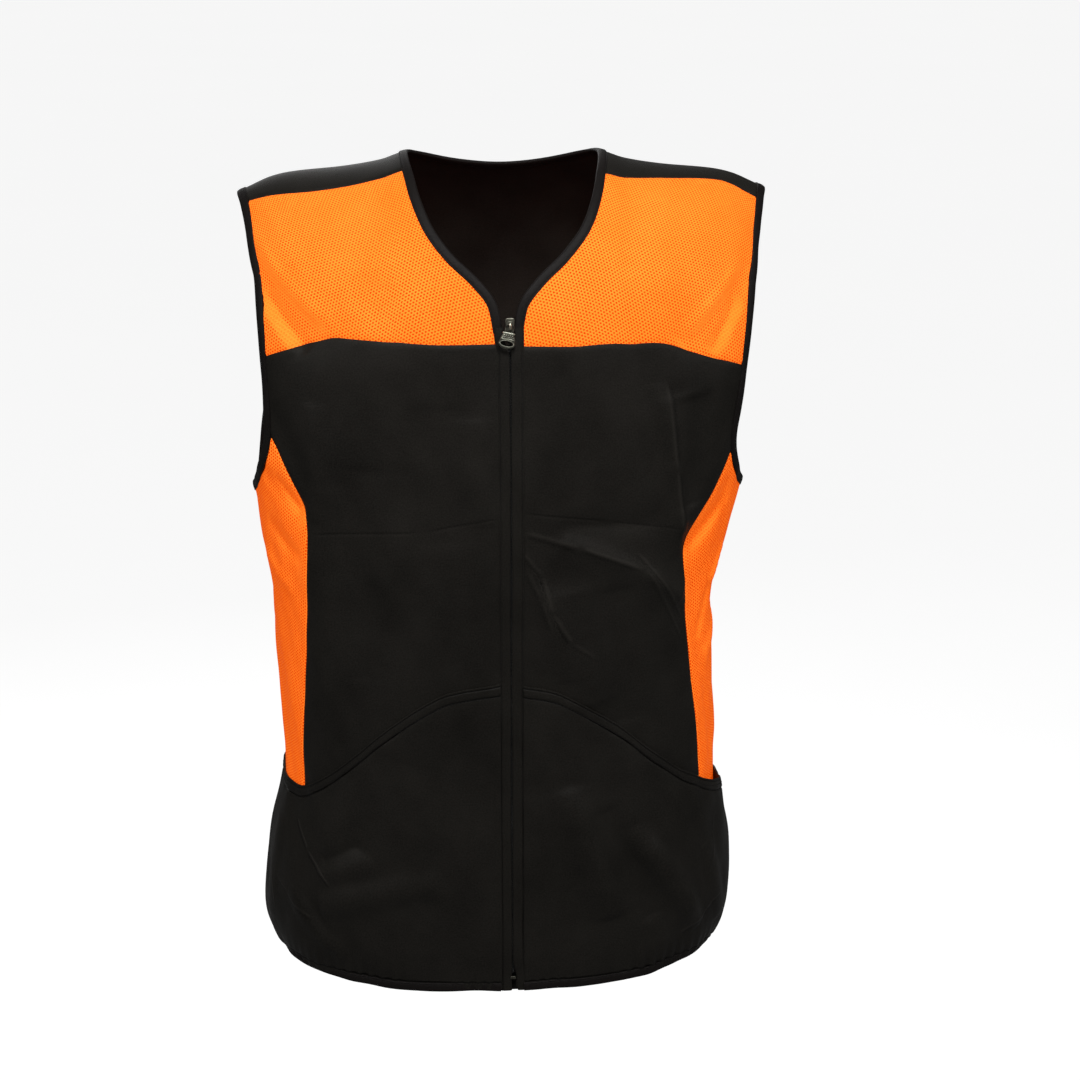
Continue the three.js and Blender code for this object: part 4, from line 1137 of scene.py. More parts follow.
def started(name: str) -> tuple[Material, Nodes, bpy.types.Node]:
    """A new material with a Principled shader.

    Args:
        name: the material's name.

    Returns:
        The material, its node helper and the shader node.
    """
    material = bpy.data.materials.new(name)
    material.use_nodes = True
    nodes = Nodes(material.node_tree)
    return material, nodes, material.node_tree.nodes["Principled BSDF"]


@dataclass(frozen=True)
class SmoothFinish:
    """Closely knitted smooth cloth with a faint sheen."""

    name: str
    tone: Tone
    bright: Tone
    roughness: float = 0.5
    rough_spread: float = 0.16
    gloss: float = 0.06
    threads: float = 1300.0
    slant: float = 0.5
    relief: float = 0.00006
    patch_scale: float = 16.0
    grain: float = 750.0
    grain_share: float = 0.6
    crease_height: float = 0.0004
    # Painted light along each crease: a highlight where the crease's strength is above zero, shade where
    # below; shade_tone paints the opposite beside it.
    crease_light_tone: float = 0.6
    shade_aside: float = 1.7
    shade_tone: float = -0.35
    groove_depth: float = 0.0005
    groove_width: float = 0.0008
    # Painted shade along the sewn lines: the tone is lowered in their grooves.
    groove_shade_tone: float = -0.6
    sewn_lines: tuple[tuple[str, float], ...] = (("mouth", 0.0022), ("mouth", 0.0106), ("foot", 0.0058))

    def material(self) -> Material:
        """Builds the material: patchy tone, a fine weave, and pressed creases and sewn lines in the bump;
        the tone also has painted light along each crease with the opposite beside it, and painted shade
        along the sewn lines.
        """
        material, nodes, shader = started(self.name)
        flat = nodes.add("UVMap", uv_map="flat").outputs["UV"]
        weave = nodes.group(Effects.weave, {"Vector": flat, "Threads": self.threads, "Slant": self.slant})
        aside, strength = nodes.read("crease_aside"), nodes.read("crease_strength")
        crease = nodes.math("MULTIPLY", bell(nodes, aside, 0.0, 1.0), strength)
        shade = nodes.math("MULTIPLY", bell(nodes, aside, self.shade_aside, 1.0), strength)
        groove: object = 0.0
        for edge, centre in self.sewn_lines:
            depth = nodes.scaled(nodes.read(edge), -MOUTH_REACH, MOUTH_REACH)
            groove = nodes.math("ADD", bell(nodes, depth, centre, self.groove_width), groove)
        grain = nodes.add("TexNoise", {"Vector": flat, "Scale": self.grain, "Detail": 2.0, "Roughness": 0.7})
        spread = nodes.add("MapRange", {"Value": grain.outputs["Fac"], "From Min": 0.3, "From Max": 0.7})
        patches = nodes.math("MULTIPLY", patchy(nodes, self.patch_scale), 1 - self.grain_share)
        tone = nodes.scaled(spread.outputs["Result"], self.grain_share, patches)
        # Painted shade beside each crease and along the sewn lines, painted light along each crease.
        lines = ((shade, self.shade_tone), (groove, self.groove_shade_tone), (crease, self.crease_light_tone))
        for line, share in lines:
            tone = nodes.scaled(line, share, tone)
        sunk = nodes.math("MULTIPLY", groove, -self.groove_depth)
        pressed = nodes.scaled(crease, self.crease_height, sunk)
        height = nodes.scaled(weave.outputs["Height"], self.relief, pressed)
        least = self.roughness - self.rough_spread / 2
        nodes.fill(shader, {
            "Base Color": nodes.mix(tone, linear(self.tone), linear(self.bright)),
            "Roughness": nodes.scaled(weave.outputs["Fuzz"], self.rough_spread, least),
            "Normal": nodes.add("Bump", {"Height": height, "Distance": 1.0}).outputs["Normal"],
            "Specular IOR Level": self.gloss,
        })
        return material


@dataclass(frozen=True)
class MeshFinish:
    """Knitted mesh in a fluorescent dye with a staggered lattice of small eyelets, and a painted glow: an
    emission that keeps it bright in shade.
    """

    name: str
    tone: Tone
    deep: Tone
    bright: Tone
    column_pitch: float = 0.0048
    row_pitch: float = 0.00275
    radius: float = 0.00076
    softness: float = 0.0003
    lean: float = 0.22
    threads: float = 900.0
    patch_scale: float = 20.0
    patch_share: float = 0.5
    tilt_fade: float = 0.8
    relief: float = 0.00045
    relief_strength: float = 0.8
    yarn_relief: float = 0.12
    roughness: float = 0.62
    eyelet_rough: float = 0.15
    gloss: float = 0.03
    # Painted glow: a red emission that lifts the orange where the light falls off, though the mesh is no
    # lamp.
    painted_glow: float = 0.55
    painted_glow_tone: Colour = (1.0, 0.09, 0.0, 1.0)

    def material(self) -> Material:
        """Builds the material: eyelets in a deeper tone and sunk, loops of yarn raised between them, and a
        painted glow from the emission.
        """
        material, nodes, shader = started(self.name)
        flat = nodes.add("UVMap", uv_map="flat").outputs["UV"]
        turned = nodes.add("Mapping", {"Vector": flat, "Rotation": (0.0, 0.0, self.lean)}).outputs["Vector"]
        eyelet = nodes.group(Effects.eyelets, {
            "Vector": turned, "Column Pitch": self.column_pitch, "Row Pitch": self.row_pitch,
            "Radius": self.radius, "Softness": self.softness,
        }).outputs["Eyelet"]
        yarn = nodes.group(Effects.weave, {"Vector": turned, "Threads": self.threads, "Slant": 0.0})
        fuzz = nodes.math("MULTIPLY", yarn.outputs["Fuzz"], 1 - self.patch_share)
        uneven = nodes.scaled(patchy(nodes, self.patch_scale), self.patch_share, fuzz)
        knit = nodes.mix(uneven, linear(self.tone), linear(self.bright))
        facing = nodes.scaled(nodes.read("tilt"), -self.tilt_fade, 1.0)
        raised = nodes.scaled(yarn.outputs["Height"], self.yarn_relief, 1.0)
        height = nodes.math("SUBTRACT", raised, eyelet)
        bump = nodes.add("Bump", {
            "Height": height, "Distance": self.relief, "Strength": self.relief_strength,
        })
        nodes.fill(shader, {
            "Base Color": nodes.mix(nodes.math("MULTIPLY", eyelet, facing), knit, linear(self.deep)),
            "Roughness": nodes.scaled(eyelet, self.eyelet_rough, self.roughness),
            "Normal": bump.outputs["Normal"],
            "Specular IOR Level": self.gloss,
            # Painted glow: the mesh emits light of its own.
            "Emission Color": self.painted_glow_tone,
            "Emission Strength": self.painted_glow,
        })
        return material


@dataclass(frozen=True)
class MetalFinish:
    """Dark plated cast metal, worn brighter in random patches."""

    name: str
    tone: Tone
    bright: Tone
    roughness: float = 0.4
    rough_spread: float = 0.14
    wear_scale: float = 420.0

    def material(self) -> Material:
        """Builds the material: worn patches lift the tone and smooth the plating."""
        material, nodes, shader = started(self.name)
        wear = patchy(nodes, self.wear_scale)
        most = self.roughness + self.rough_spread / 2
        nodes.fill(shader, {
            "Base Color": nodes.mix(wear, linear(self.tone), linear(self.bright)),
            "Roughness": nodes.scaled(wear, -self.rough_spread, most),
            "Metallic": 1.0,
        })
        return material


@dataclass(frozen=True)
class MouldedFinish:
    """Moulded plastic of the zip teeth, and dull thread."""

    name: str
    tone: Tone
    roughness: float
    gloss: float = 0.15
    patch_scale: float = 700.0
    patch_share: float = 0.6
    rough_spread: float = 0.15
    gain: float = 1.7
    lift: int = 4

    def material(self) -> Material:
        """Builds the material: a patchy tone and roughness."""
        material, nodes, shader = started(self.name)
        patches = patchy(nodes, self.patch_scale)
        bright = linear(int(value * self.gain) + self.lift for value in self.tone)
        shown = nodes.math("MULTIPLY", patches, self.patch_share)
        nodes.fill(shader, {
            "Base Color": nodes.mix(shown, linear(self.tone), bright),
            "Roughness": nodes.scaled(patches, self.rough_spread, self.roughness),
            "Specular IOR Level": self.gloss,
        })
        return material


class Palette:
    """Every finish of the vest, made once."""

    smooth = SmoothFinish("smooth_black_cloth", (13, 12, 10), (35, 33, 30)).material()
    binding = SmoothFinish(
        "black_binding", (14, 12, 11), (27, 24, 23), 0.5, threads=900.0, slant=0.0, relief=0.0001).material()
    tape = SmoothFinish(
        "black_zip_tape", (15, 14, 13), (24, 23, 21), 0.75, threads=1100.0, slant=1.0, relief=0.0001,
    ).material()
    mesh = MeshFinish("orange_mesh", (231, 119, 33), (168, 34, 0), (239, 141, 50)).material()
    metal = MetalFinish("dark_plated_metal", (58, 57, 51), (92, 91, 82)).material()
    # Lighter copy of the plated metal for the bail and the pull's raised parts: rubbed plating on ridges,
    # and a painted highlight standing in for their glints.
    rubbed_and_highlit = MetalFinish("rubbed_and_highlit_metal", (128, 129, 116), (182, 183, 168)).material()
    teeth = MouldedFinish("black_teeth", (7, 7, 7), 0.3).material()
    thread = MouldedFinish("black_thread", (10, 9, 9), 0.6).material()


def placed(piece: Piece, material: Material, body: str, slot: str, *nodes: str) -> None:
    """Dresses a piece and ties it to the frame.

    Args:
        piece: the mesh object.
        material: its material.
        body: the body that it rides on.
        slot: the record's material slot; not used.
        nodes: the solids that it stands for.
    """
    piece.data.materials.append(material)
    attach(piece, body)
    if nodes:
        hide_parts(*nodes)
    LOG.info("%s: %d faces", piece.name, len(piece.data.polygons))


@dataclass
class Panel:
    """One panel of cloth: a fine grid over a patch of the chart, with a wall's thickness."""

    name: str
    middle: float
    seams: tuple[Edge, ...]
    cell: float = CELL
    thickness: float = 0.0012
    dip: float = 0.0009
    dip_width: float = 0.0017
    tilt_range: Pair = (0.012, 0.055)
    mirror: float = 1.0
    mouth: bool = False
    lift: Callable[[Array, Array, Reach], Array] | None = None
    relief: Callable[[Reach], Array] | None = None

    def grid(self, edges: Edges) -> Array:
        """Chart places whose cells have about the panel's cell size on the cloth."""
        lengths = {}
        for edge, path in edges.items():
            line = FORM.points(path.at(np.linspace(0, 1, 120)), folded=False)
            lengths[edge] = spans(line).sum()
        columns = math.ceil(max(lengths[Edge.TOP], lengths[Edge.BOTTOM]) / self.cell)
        rows = math.ceil(max(lengths[Edge.INNER], lengths[Edge.OUTER]) / self.cell)
        return patch(edges, columns, rows)

    def face(self, places: Array) -> tuple[Array, Array]:
        """Works out the outer face.

        It is the form's face raised by the panel's lift and relief, and sunk in a bell-shaped groove along
        each sewn edge.

        Args:
            places: chart places by row and column.

        Returns:
            Points and outward normals by row and column.
        """
        base, normal = FORM.surface(places)
        reach = edge_reach(base)
        height = np.zeros(base.shape[:2])
        if self.lift:
            height += self.lift(places, base, reach)
        if self.relief:
            height += self.relief(reach)
        for edge in self.seams:
            height -= self.dip * np.exp(-((reach[edge] / self.dip_width) ** 2))
        outer = base + normal * height[..., None]
        return outer, grid_normals(outer, normal)

    def build(self, *grids: Array) -> tuple[Piece, Pair, float]:
        """Makes the panel, with its inner face one thickness behind the outer one.

        Args:
            grids: chart places by row and column, of one grid or of two that share points along a line.

        Returns:
            The object, and the flat size and area of its cut.
        """
        faces = [self.face(places) for places in grids]
        flat = np.concatenate([FORM.flat(places, self.middle).reshape(-1, 2) for places in grids])
        flat = flat * np.array((self.mirror, 1.0))
        outer = np.concatenate([points.reshape(-1, 3) for points, _ in faces])
        facing = np.concatenate([normals.reshape(-1, 3) for _, normals in faces])
        starts = np.cumsum([0] + [points.shape[0] * points.shape[1] for points, _ in faces])
        quads = np.concatenate([faced_quads(*face) + first for face, first in zip(faces, starts)])
        _, kept, number = np.unique(np.round(outer, 7), axis=0, return_index=True, return_inverse=True)
        inner = outer[kept] - facing[kept] * self.thickness
        shell = wall(outer[kept], inner, number.ravel()[quads])
        made = MeshData.of(*shell, np.tile(flat[kept], (2, 1))).object(self.name)
        marks = [self.marks(places, points) for places, (points, _) in zip(grids, faces)]
        for name in marks[0]:
            values = np.concatenate([mark[name].ravel() for mark in marks])
            layer = made.data.attributes.new(name, "FLOAT", "POINT")
            layer.data.foreach_set("value", np.tile(values[kept], 2).astype(np.float32))
        size = np.ptp(flat, axis=0)
        area = sum(cell_area(points) for points, _ in faces)
        return made, (float(size[0]), float(size[1])), area

    def marks(self, places: Array, points: Array) -> dict[str, Array]:
        """Works out what the finishes read from the panel's points.

        Args:
            places: chart places by row and column.
            points: points of the outer face.

        Returns:
            The tilt of the folds from 0 to 1, the nearest crease's distance and strength, and on a pocket
            the nearness to mouth and foot, 1 at the edge and 0 from MOUTH_REACH on.
        """
        tilt = 1 - (FORM.frames(places)[2] * FORM.frames(places, folded=False)[2]).sum(-1)
        aside, strength = FORM.creases(places[..., 0] / FORM.degree, points[..., 2])
        strength = np.where(points[..., 1] < CREASE_BACK, strength, 0)
        found = {
            "tilt": smooth_step(*self.tilt_range, tilt),
            "crease_aside": aside,
            "crease_strength": strength,
        }
        if self.mouth:
            reach = edge_reach(points)
            found["mouth"] = np.clip(1 - reach[Edge.TOP] / MOUTH_REACH, 0, 1)
            found["foot"] = np.clip(1 - reach[Edge.BOTTOM] / MOUTH_REACH, 0, 1)
        return found


def edge_reach(points: Array) -> Reach:
    """Distance of each grid point from each edge, along its row or column."""
    down = spans(points)
    across = np.linalg.norm(np.diff(points, axis=1), axis=-1)
    from_top = np.concatenate((np.zeros((1, points.shape[1])), np.cumsum(down, 0)))
    from_inner = np.concatenate((np.zeros((points.shape[0], 1)), np.cumsum(across, 1)), 1)
    return {
        Edge.TOP: from_top,
        Edge.BOTTOM: from_top[-1:] - from_top,
        Edge.INNER: from_inner,
        Edge.OUTER: from_inner[:, -1:] - from_inner,
    }


def grid_normals(points: Array, towards: Array) -> Array:
    """Normals of a grid by central differences, turned to the side of the given vectors."""
    normal = unit(np.cross(np.gradient(points, axis=0), np.gradient(points, axis=1)))
    return normal * np.sign((normal * towards).sum(-1, keepdims=True))


def cell_area(points: Array) -> float:
    """Sum of the areas of a grid's cells, each from its two diagonals."""
    first = points[1:, 1:] - points[:-1, :-1]
    second = points[1:, :-1] - points[:-1, 1:]
    return float(np.linalg.norm(np.cross(first, second), axis=-1).sum() / 2)


def faced_quads(points: Array, normals: Array) -> Array:
    """Cells of a grid, turned so that they face along the normals."""
    quads = grid_quads(*points.shape[:2])
    row, column = points.shape[0] // 2, points.shape[1] // 2
    down = points[row + 1, column] - points[row, column]
    across = points[row, column + 1] - points[row, column]
    return quads if np.cross(down, across) @ normals[row, column] > 0 else quads[:, ::-1]


def wall(outer: Array, inner: Array, quads: Array) -> Solid:
    """Closed wall between two faces with the same cells.

    Args:
        outer: points of the outer face.
        inner: points of the inner face.
        quads: cells of the outer face.

    Returns:
        The vertices, outer face first, and the faces: both sheets, and a rim on each edge of one cell alone.
    """
    count = len(outer)
    start, end = quads.ravel(), np.roll(quads, -1, axis=1).ravel()
    open_edge = ~np.isin(start * count + end, end * count + start)
    a, b = start[open_edge], end[open_edge]
    rim = np.stack((b, a, a + count, b + count), -1)
    return np.concatenate((outer, inner)), [np.concatenate((quads, quads[:, ::-1] + count, rim))]


def sew(panel: Panel, material: Material, slot: str, node: str, *grids: Array) -> None:
    """Args:
        panel: the panel.
        material: its material.
        slot: the record's material slot.
        node: the solid that it stands for.
        grids: its chart places by row and column.
    """
    piece, (width, length), area = panel.build(*grids)
    placed(piece, material, "vest", slot, node)


@dataclass
class Shell:
    """The panels of the vest's body: back, yokes, lower fronts and side panels."""

    cuts: dict[Side, Cut]
    pucker: float = 0.0007
    pucker_wave: Wave = Wave(0.0105, 1.3, 0.031)
    pucker_share: float = 0.55
    pucker_swell: float = 0.047
    pucker_start: float = 0.6
    pucker_reach: float = 0.020
    yoke_middle: float = 30.0
    side_middle: float = 80.0
    yoke_cell: float = 0.0021
    front_cell: float = 0.0019
    back_cell: float = 0.0033

    def gathers(self, reach: Reach) -> Array:
        """Small upright puckers above the elastic hem: a wave along the hem that fades with height.

        Args:
            reach: distances from the panel's edges.

        Returns:
            The height of each point.
        """
        along = reach[Edge.INNER][-1:]
        swell = np.sin(along / self.pucker_swell + self.pucker_start)
        strength = self.pucker_share + (1 - self.pucker_share) * swell
        fade = np.exp(-((reach[Edge.BOTTOM] / self.pucker_reach) ** 2))
        return self.pucker * self.pucker_wave.at(along) * strength * fade

    def build(self) -> None:
        """Builds every panel."""
        self.build_back()
        for side, cut in self.cuts.items():
            sign = side.value
            yoke = Panel(f"yoke_cloth_{side.label}", sign * self.yoke_middle, (Edge.TOP, Edge.BOTTOM),
                         self.yoke_cell, mirror=-sign)
            sew(yoke, Palette.mesh, "mesh_cloth", f"yoke_{side.label}", yoke.grid(cut.yoke_edges()))
            front = Panel(f"front_cloth_{side.label}", 0, (Edge.TOP, Edge.OUTER), self.front_cell,
                          relief=self.gathers)
            sew(front, Palette.smooth, "smooth_cloth", f"front_panel_{side.label}",
                front.grid(cut.front_edges()))
            flank = Panel(f"side_cloth_{side.label}", sign * self.side_middle, (Edge.INNER, Edge.OUTER),
                          mirror=-sign)
            sew(flank, Palette.mesh, "mesh_cloth", f"side_panel_{side.label}", flank.grid(cut.side_edges()))

    def build_back(self) -> None:
        """Builds the back from its two halves, joined along the spine."""
        panel = Panel("back_cloth", 0, (Edge.TOP, Edge.OUTER), self.back_cell, relief=self.gathers)
        left = panel.grid(self.cuts[Side.LEFT].back_edges())
        rows_down, columns = left.shape[:2]
        right = patch(self.cuts[Side.RIGHT].back_edges(), columns - 1, rows_down - 1)
        sew(panel, Palette.smooth, "smooth_cloth", "back_panel", left, right)


@dataclass
class Pockets:
    """The two curved patch pockets with their turned and stitched mouths."""

    cuts: dict[Side, Cut]
    middle: float = 40.0
    cell: float = 0.0021
    thickness: float = 0.0014
    seat: float = 0.0009
    seat_reach: float = 0.012
    hem_width: float = 0.0098
    hem_rise: float = 0.0006
    hem_edge: float = 0.001
    stitch_below: float = 0.0008
    stitch_depth: float = 0.0006
    stitch_width: float = 0.0011
    stitch_rise: float = 0.0001
    lip: float = 0.0007
    lip_width: float = 0.0011
    pull: float = 0.00022
    pull_length: float = 0.0028
    pull_reach: float = 0.006
    gather: float = 0.0011
    gather_wave: Wave = Wave(0.0098, 1.8, 0.027)
    gather_swell: Wave = Wave(2 * math.pi * 0.0193, 2.0, 0.061)
    gather_reach: Pair = (0.010, 0.012)
    drawn_left: Pair = (66.0, 94.0)
    drawn_left_share: float = 0.95
    drawn_right: float = 1.0
    drawn_reach: float = 0.034
    spread: Table = field(default_factory=lambda: Table(POCKET_SPREAD))
    belly: Table = field(default_factory=lambda: Table(POCKET_BELLY))

    def lift(self, places: Array, base: Array, reach: Reach) -> Array:
        """Height of the outer face off the cloth behind.

        A share round the body times a belly by level, drawn in near the mouth by the pull of its hem.

        Args:
            places: chart places.
            base: points of the cloth behind.
            reach: distances from the edges.

        Returns:
            The height of each point.
        """
        angle = np.abs(places[..., 0]) / FORM.degree
        drawn_left = self.drawn_left_share * smooth_step(*self.drawn_left, angle)
        drawn = np.where(places[..., 0] < 0, self.drawn_right, drawn_left)
        share = np.maximum(self.spread.at("share", angle), 0)
        belly = np.maximum(self.belly.at("lift", base[..., 2]), 0)
        mouth = 1 - drawn * np.exp(-((reach[Edge.TOP] / self.drawn_reach) ** 2))
        seat = self.seat * (1 - np.exp(-((reach[Edge.TOP] / self.seat_reach) ** 2)))
        return seat + CLOTH + share * belly * mouth

    def relief(self, reach: Reach) -> Array:
        """Turned hem along the mouth and gathers above the elastic hem.

        The mouth has a raised band, a stitched groove below it with the small pulls of its stitches, and a
        rounded lip. The gathers are a wave along the foot that swells, reaches higher where it is strong
        and fades with height.

        Args:
            reach: distances from the edges.

        Returns:
            The height of each point.
        """
        depth, along = reach[Edge.TOP], reach[Edge.INNER]
        below = depth - self.hem_width
        band = self.hem_rise * (1 - smooth_step(-self.hem_edge, self.hem_edge, below))
        groove = self.stitch_depth * np.exp(-(((below - self.stitch_below) / self.stitch_width) ** 2))
        lip = self.lip * np.exp(-((depth / self.lip_width) ** 2))
        pull = self.pull * np.sin(along / self.pull_length) * np.exp(-((below / self.pull_reach) ** 2))
        swell = 0.5 + 0.5 * self.gather_swell.at(along[-1:])
        height = self.gather_reach[0] + self.gather_reach[1] * swell
        fade = np.exp(-((reach[Edge.BOTTOM] / height) ** 2))
        return band - groove - lip + pull + self.gather * swell * self.gather_wave.at(along[-1:]) * fade

    def build(self) -> None:
        """Builds both pockets and their mouth stitches."""
        for side, cut in self.cuts.items():
            panel = Panel(f"pocket_cloth_{side.label}", side.value * self.middle, (Edge.INNER, Edge.OUTER),
                          self.cell, self.thickness, mouth=True, lift=self.lift, relief=self.relief)
            places = panel.grid(cut.pocket_edges())
            sew(panel, Palette.smooth, "smooth_cloth", f"pocket_{side.label}", places)
            base, normal = FORM.surface(places)
            reach = edge_reach(base)
            row = int(np.abs(reach[Edge.TOP][:, 8] - self.hem_width - self.stitch_below).argmin())
            height = self.lift(places, base, reach) + self.relief(reach) + self.stitch_rise
            line = (base + normal * height[..., None])[row, 3:-3]
            stitch_row(f"pocket_stitches_{side.label}", line, normal[row, 3:-3])


def stitch_row(name: str, line: Array, normal: Array) -> None:
    """Builds a row of sewn stitches along a line, with the outward normals at its points."""
    placed(MeshData.of(*stitches(line, normal)).object(name), Palette.thread, "vest", "binding")


def stitches(line: Array, normal: Array) -> Solid:
    """Stitches along a line: spindles laid along it, one pitch apart, half sunk in the cloth.

    Args:
        line: points along the row.
        normal: outward normals at those points.

    Returns:
        The vertices and faces.
    """
    run = distances(line)
    places = np.arange(STITCH_PITCH / 2, run[-1], STITCH_PITCH)

    def between(values: Array, shift: float = 0.0) -> Array:
        """Vectors at the stitches, or a little before or after them."""
        return np.stack([np.interp(places + shift, run, values[:, k]) for k in range(3)], -1)

    out = unit(between(normal))
    along = unit(between(line, STITCH_SLOPE) - between(line, -STITCH_SLOPE))
    aside = np.cross(out, along) * THREAD_RADIUS
    axes = np.stack((along * STITCH_LENGTH / 2, aside, out * THREAD_RADIUS * THREAD_FLATNESS), 1)
    return scattered(spindle(4, 6), between(line), axes)


@dataclass
class Binding:
    """Folded binding carried along an edge, with a stitch row near its inner side."""

    name: str
    node: str
    path: Path
    turn: float
    closed: bool
    proud: float
    width: float = 0.008
    station: float = 0.0024
    ripple: float = 0.00012
    ripple_wave: Wave = Wave(0.0062, 1.1, 0.023)
    ripple_edge: float = 0.004
    swell: float = 0.04
    swell_length: float = 0.037
    stitch_inset: float = 0.0012
    stitch_sunk: float = 0.00015
    bevel: float = 0.0006
    crown: Pair = (0.00022, 0.00012)
    groove: float = 0.0003
    cover: float = 0.0
    cover_end: Pair = (108.0, 116.0)

    def profile(self) -> Array:
        """Loop of distances inwards from the edge and out of the cloth: a fold with a round nose."""
        top = self.proud
        foot = -CLOTH - self.proud
        middle, half = (top + foot) / 2, (top - foot) / 2
        nose = np.linspace(-math.pi / 2, math.pi / 2, 9)[1:-1]
        round_edge = np.stack((half - half * np.cos(nose), middle + half * np.sin(nose)), -1)
        width, sewn = self.width, self.width - self.stitch_inset
        under = np.array(((width, foot + self.bevel), (width - self.bevel, foot), (width * 0.55, foot)))
        over = np.array((
            (half * 1.1, top), (width * 0.42, top + self.crown[0]), (width * 0.68, top + self.crown[1]),
            (sewn - self.bevel, top), (sewn, top - self.groove), (sewn + self.bevel, top),
            (width - self.bevel / 2, top - self.bevel / 6), (width, top - self.bevel),
        ))
        return np.concatenate((under, round_edge, over))

    def build(self) -> None:
        """Carries the profile along the edge and sews it on both faces.

        Each station has the edge's point, the inward direction across the cloth and the normal. Small
        waves along the edge stand for the pull of the elastic.
        """
        line = FORM.points(self.path.at(np.linspace(0, 1, 400)))
        length = spans(line).sum()
        s = np.linspace(0, 1, math.ceil(length / self.station), endpoint=not self.closed)
        places = self.path.at(s)
        point, normal = FORM.surface(places)
        heading = np.roll(point, -1, 0) - np.roll(point, 1, 0) if self.closed else np.gradient(point, axis=0)
        inwards = unit(np.cross(heading, normal)) * self.turn
        run = s * length
        profile = self.profile()
        across, height = profile[None, :, :1], profile[None, :, 1:]
        swell = 1 + self.swell * np.sin(run / self.swell_length)
        wave = self.ripple * self.ripple_wave.at(run)
        crown = wave[:, None, None] * np.sign(height) * smooth_step(0.0, self.ripple_edge, across)
        turned = np.abs((places[:, 0] / FORM.degree + 180) % 360 - 180)
        raised = self.cover * (1 - smooth_step(*self.cover_end, turned))
        outer_side = smooth_step(-CLOTH - self.proud, self.proud, height)
        out = height + crown + raised[:, None, None] * outer_side
        rings = point[:, None] + inwards[:, None] * (across * swell[:, None, None]) + normal[:, None] * out
        fold = carried(rings, distances(profile), run, self.closed)
        placed(fold.object(self.name), Palette.binding, "vest", "binding", self.node)
        seam = point + inwards * (self.width - self.stitch_inset)
        over = (self.proud + raised - self.stitch_sunk)[:, None]
        threads = MeshData()
        threads.add(*stitches(seam + normal * over, normal))
        threads.add(*stitches(seam + normal * (-CLOTH - self.proud), -normal))
        placed(threads.object(f"{self.name}_stitches"), Palette.thread, "vest", "binding")


@dataclass
class Bindings:
    """All four bound edges."""

    cuts: dict[Side, Cut]
    proud: float = 0.0009
    hem_proud: float = 0.0014
    hem_ripple: float = 0.0003
    pocket_cover: float = 0.0020
    hem_end: float = 0.0098
    hem_levels: Pair = (-0.660, -0.720)

    def hem_path(self) -> Path:
        """Hem edge between the outer sides of the two zip bands."""
        hem = whole_hem()
        start = meet(hem.part(0, 0.5), plumb(self.hem_end, *self.hem_levels))[0] / 2
        end = 0.5 + meet(hem.part(0.5, 1).shifted(-360), plumb(-self.hem_end, *self.hem_levels))[0] / 2
        return hem.part(start, end)

    def build(self) -> None:
        """Builds neck, armhole and hem bindings."""
        Binding("neck_binding_fold", "neck_binding", whole_neck(), 1, False, self.proud).build()
        for side, cut in self.cuts.items():
            Binding(f"armhole_binding_fold_{side.label}", f"armhole_binding_{side.label}", cut.armhole,
                    side.value, True, self.proud).build()
        Binding("hem_binding_fold", "hem_binding", self.hem_path(), -1, False, self.hem_proud,
                ripple=self.hem_ripple, cover=self.pocket_cover).build()


class Block(NamedTuple):
    """Rounded block in a seat's frame: sideways, into the cloth and up."""

    half: Triple
    place: Triple
    roundness: float
    taper: float = 0.0

    def solid(self) -> Solid:
        """Its vertices and faces."""
        vertices, faces = rounded_block(self.half, self.roundness, self.taper)
        return vertices + np.array(self.place), faces


SLIDER = rows(
    Block,
    ((0.0038, 0.00085, 0.00625), (0.0, -0.00135, 0.0), 0.3, 0.26),
    ((0.0038, 0.00085, 0.00625), (0.0, 0.00315, 0.0), 0.3, 0.26),
    ((0.0012, 0.0022, 0.0018), (0.0, 0.0009, 0.0041), 0.3),
    ((0.0023, 0.0004, 0.0042), (0.0, -0.0023, -0.0006), 0.3),
)
STOP = Block((0.0024, 0.0010, 0.0012), (0.0004, -0.0007, 0.0), 0.3)
COLLAR = Block((0.0050, 0.00115, 0.0007), (0.0, 0.0, -0.0061), 0.35)
LEDGE = Block((0.0056, 0.00095, 0.00035), (0.0, 0.0, -0.0107), 0.35)
STUD = Block((0.00042, 0.0004, 0.00042), (0.0, 0.0, 0.0), 0.9)
SIDEWAYS = np.array((1.0, 0.0, 0.0))
EYE_ROUNDNESS = 0.5
WINDOW_MIDDLE = -0.0142
WINDOW_HALF = 0.0053
WINDOW_RISE = 0.0022
PLATE_TOP = 0.0080
PLATE_FOOT = 0.0043
PLATE_FLARE = (0.0066, 0.0049)
PLATE_HALF = 0.0008
PLATE_SQUARENESS = 0.35
SECTION_ROUNDNESS = 0.45
RIM_SET = 0.0003
RIM_HALF = (0.00042, 0.0005)
RIM_OUT = 0.00055


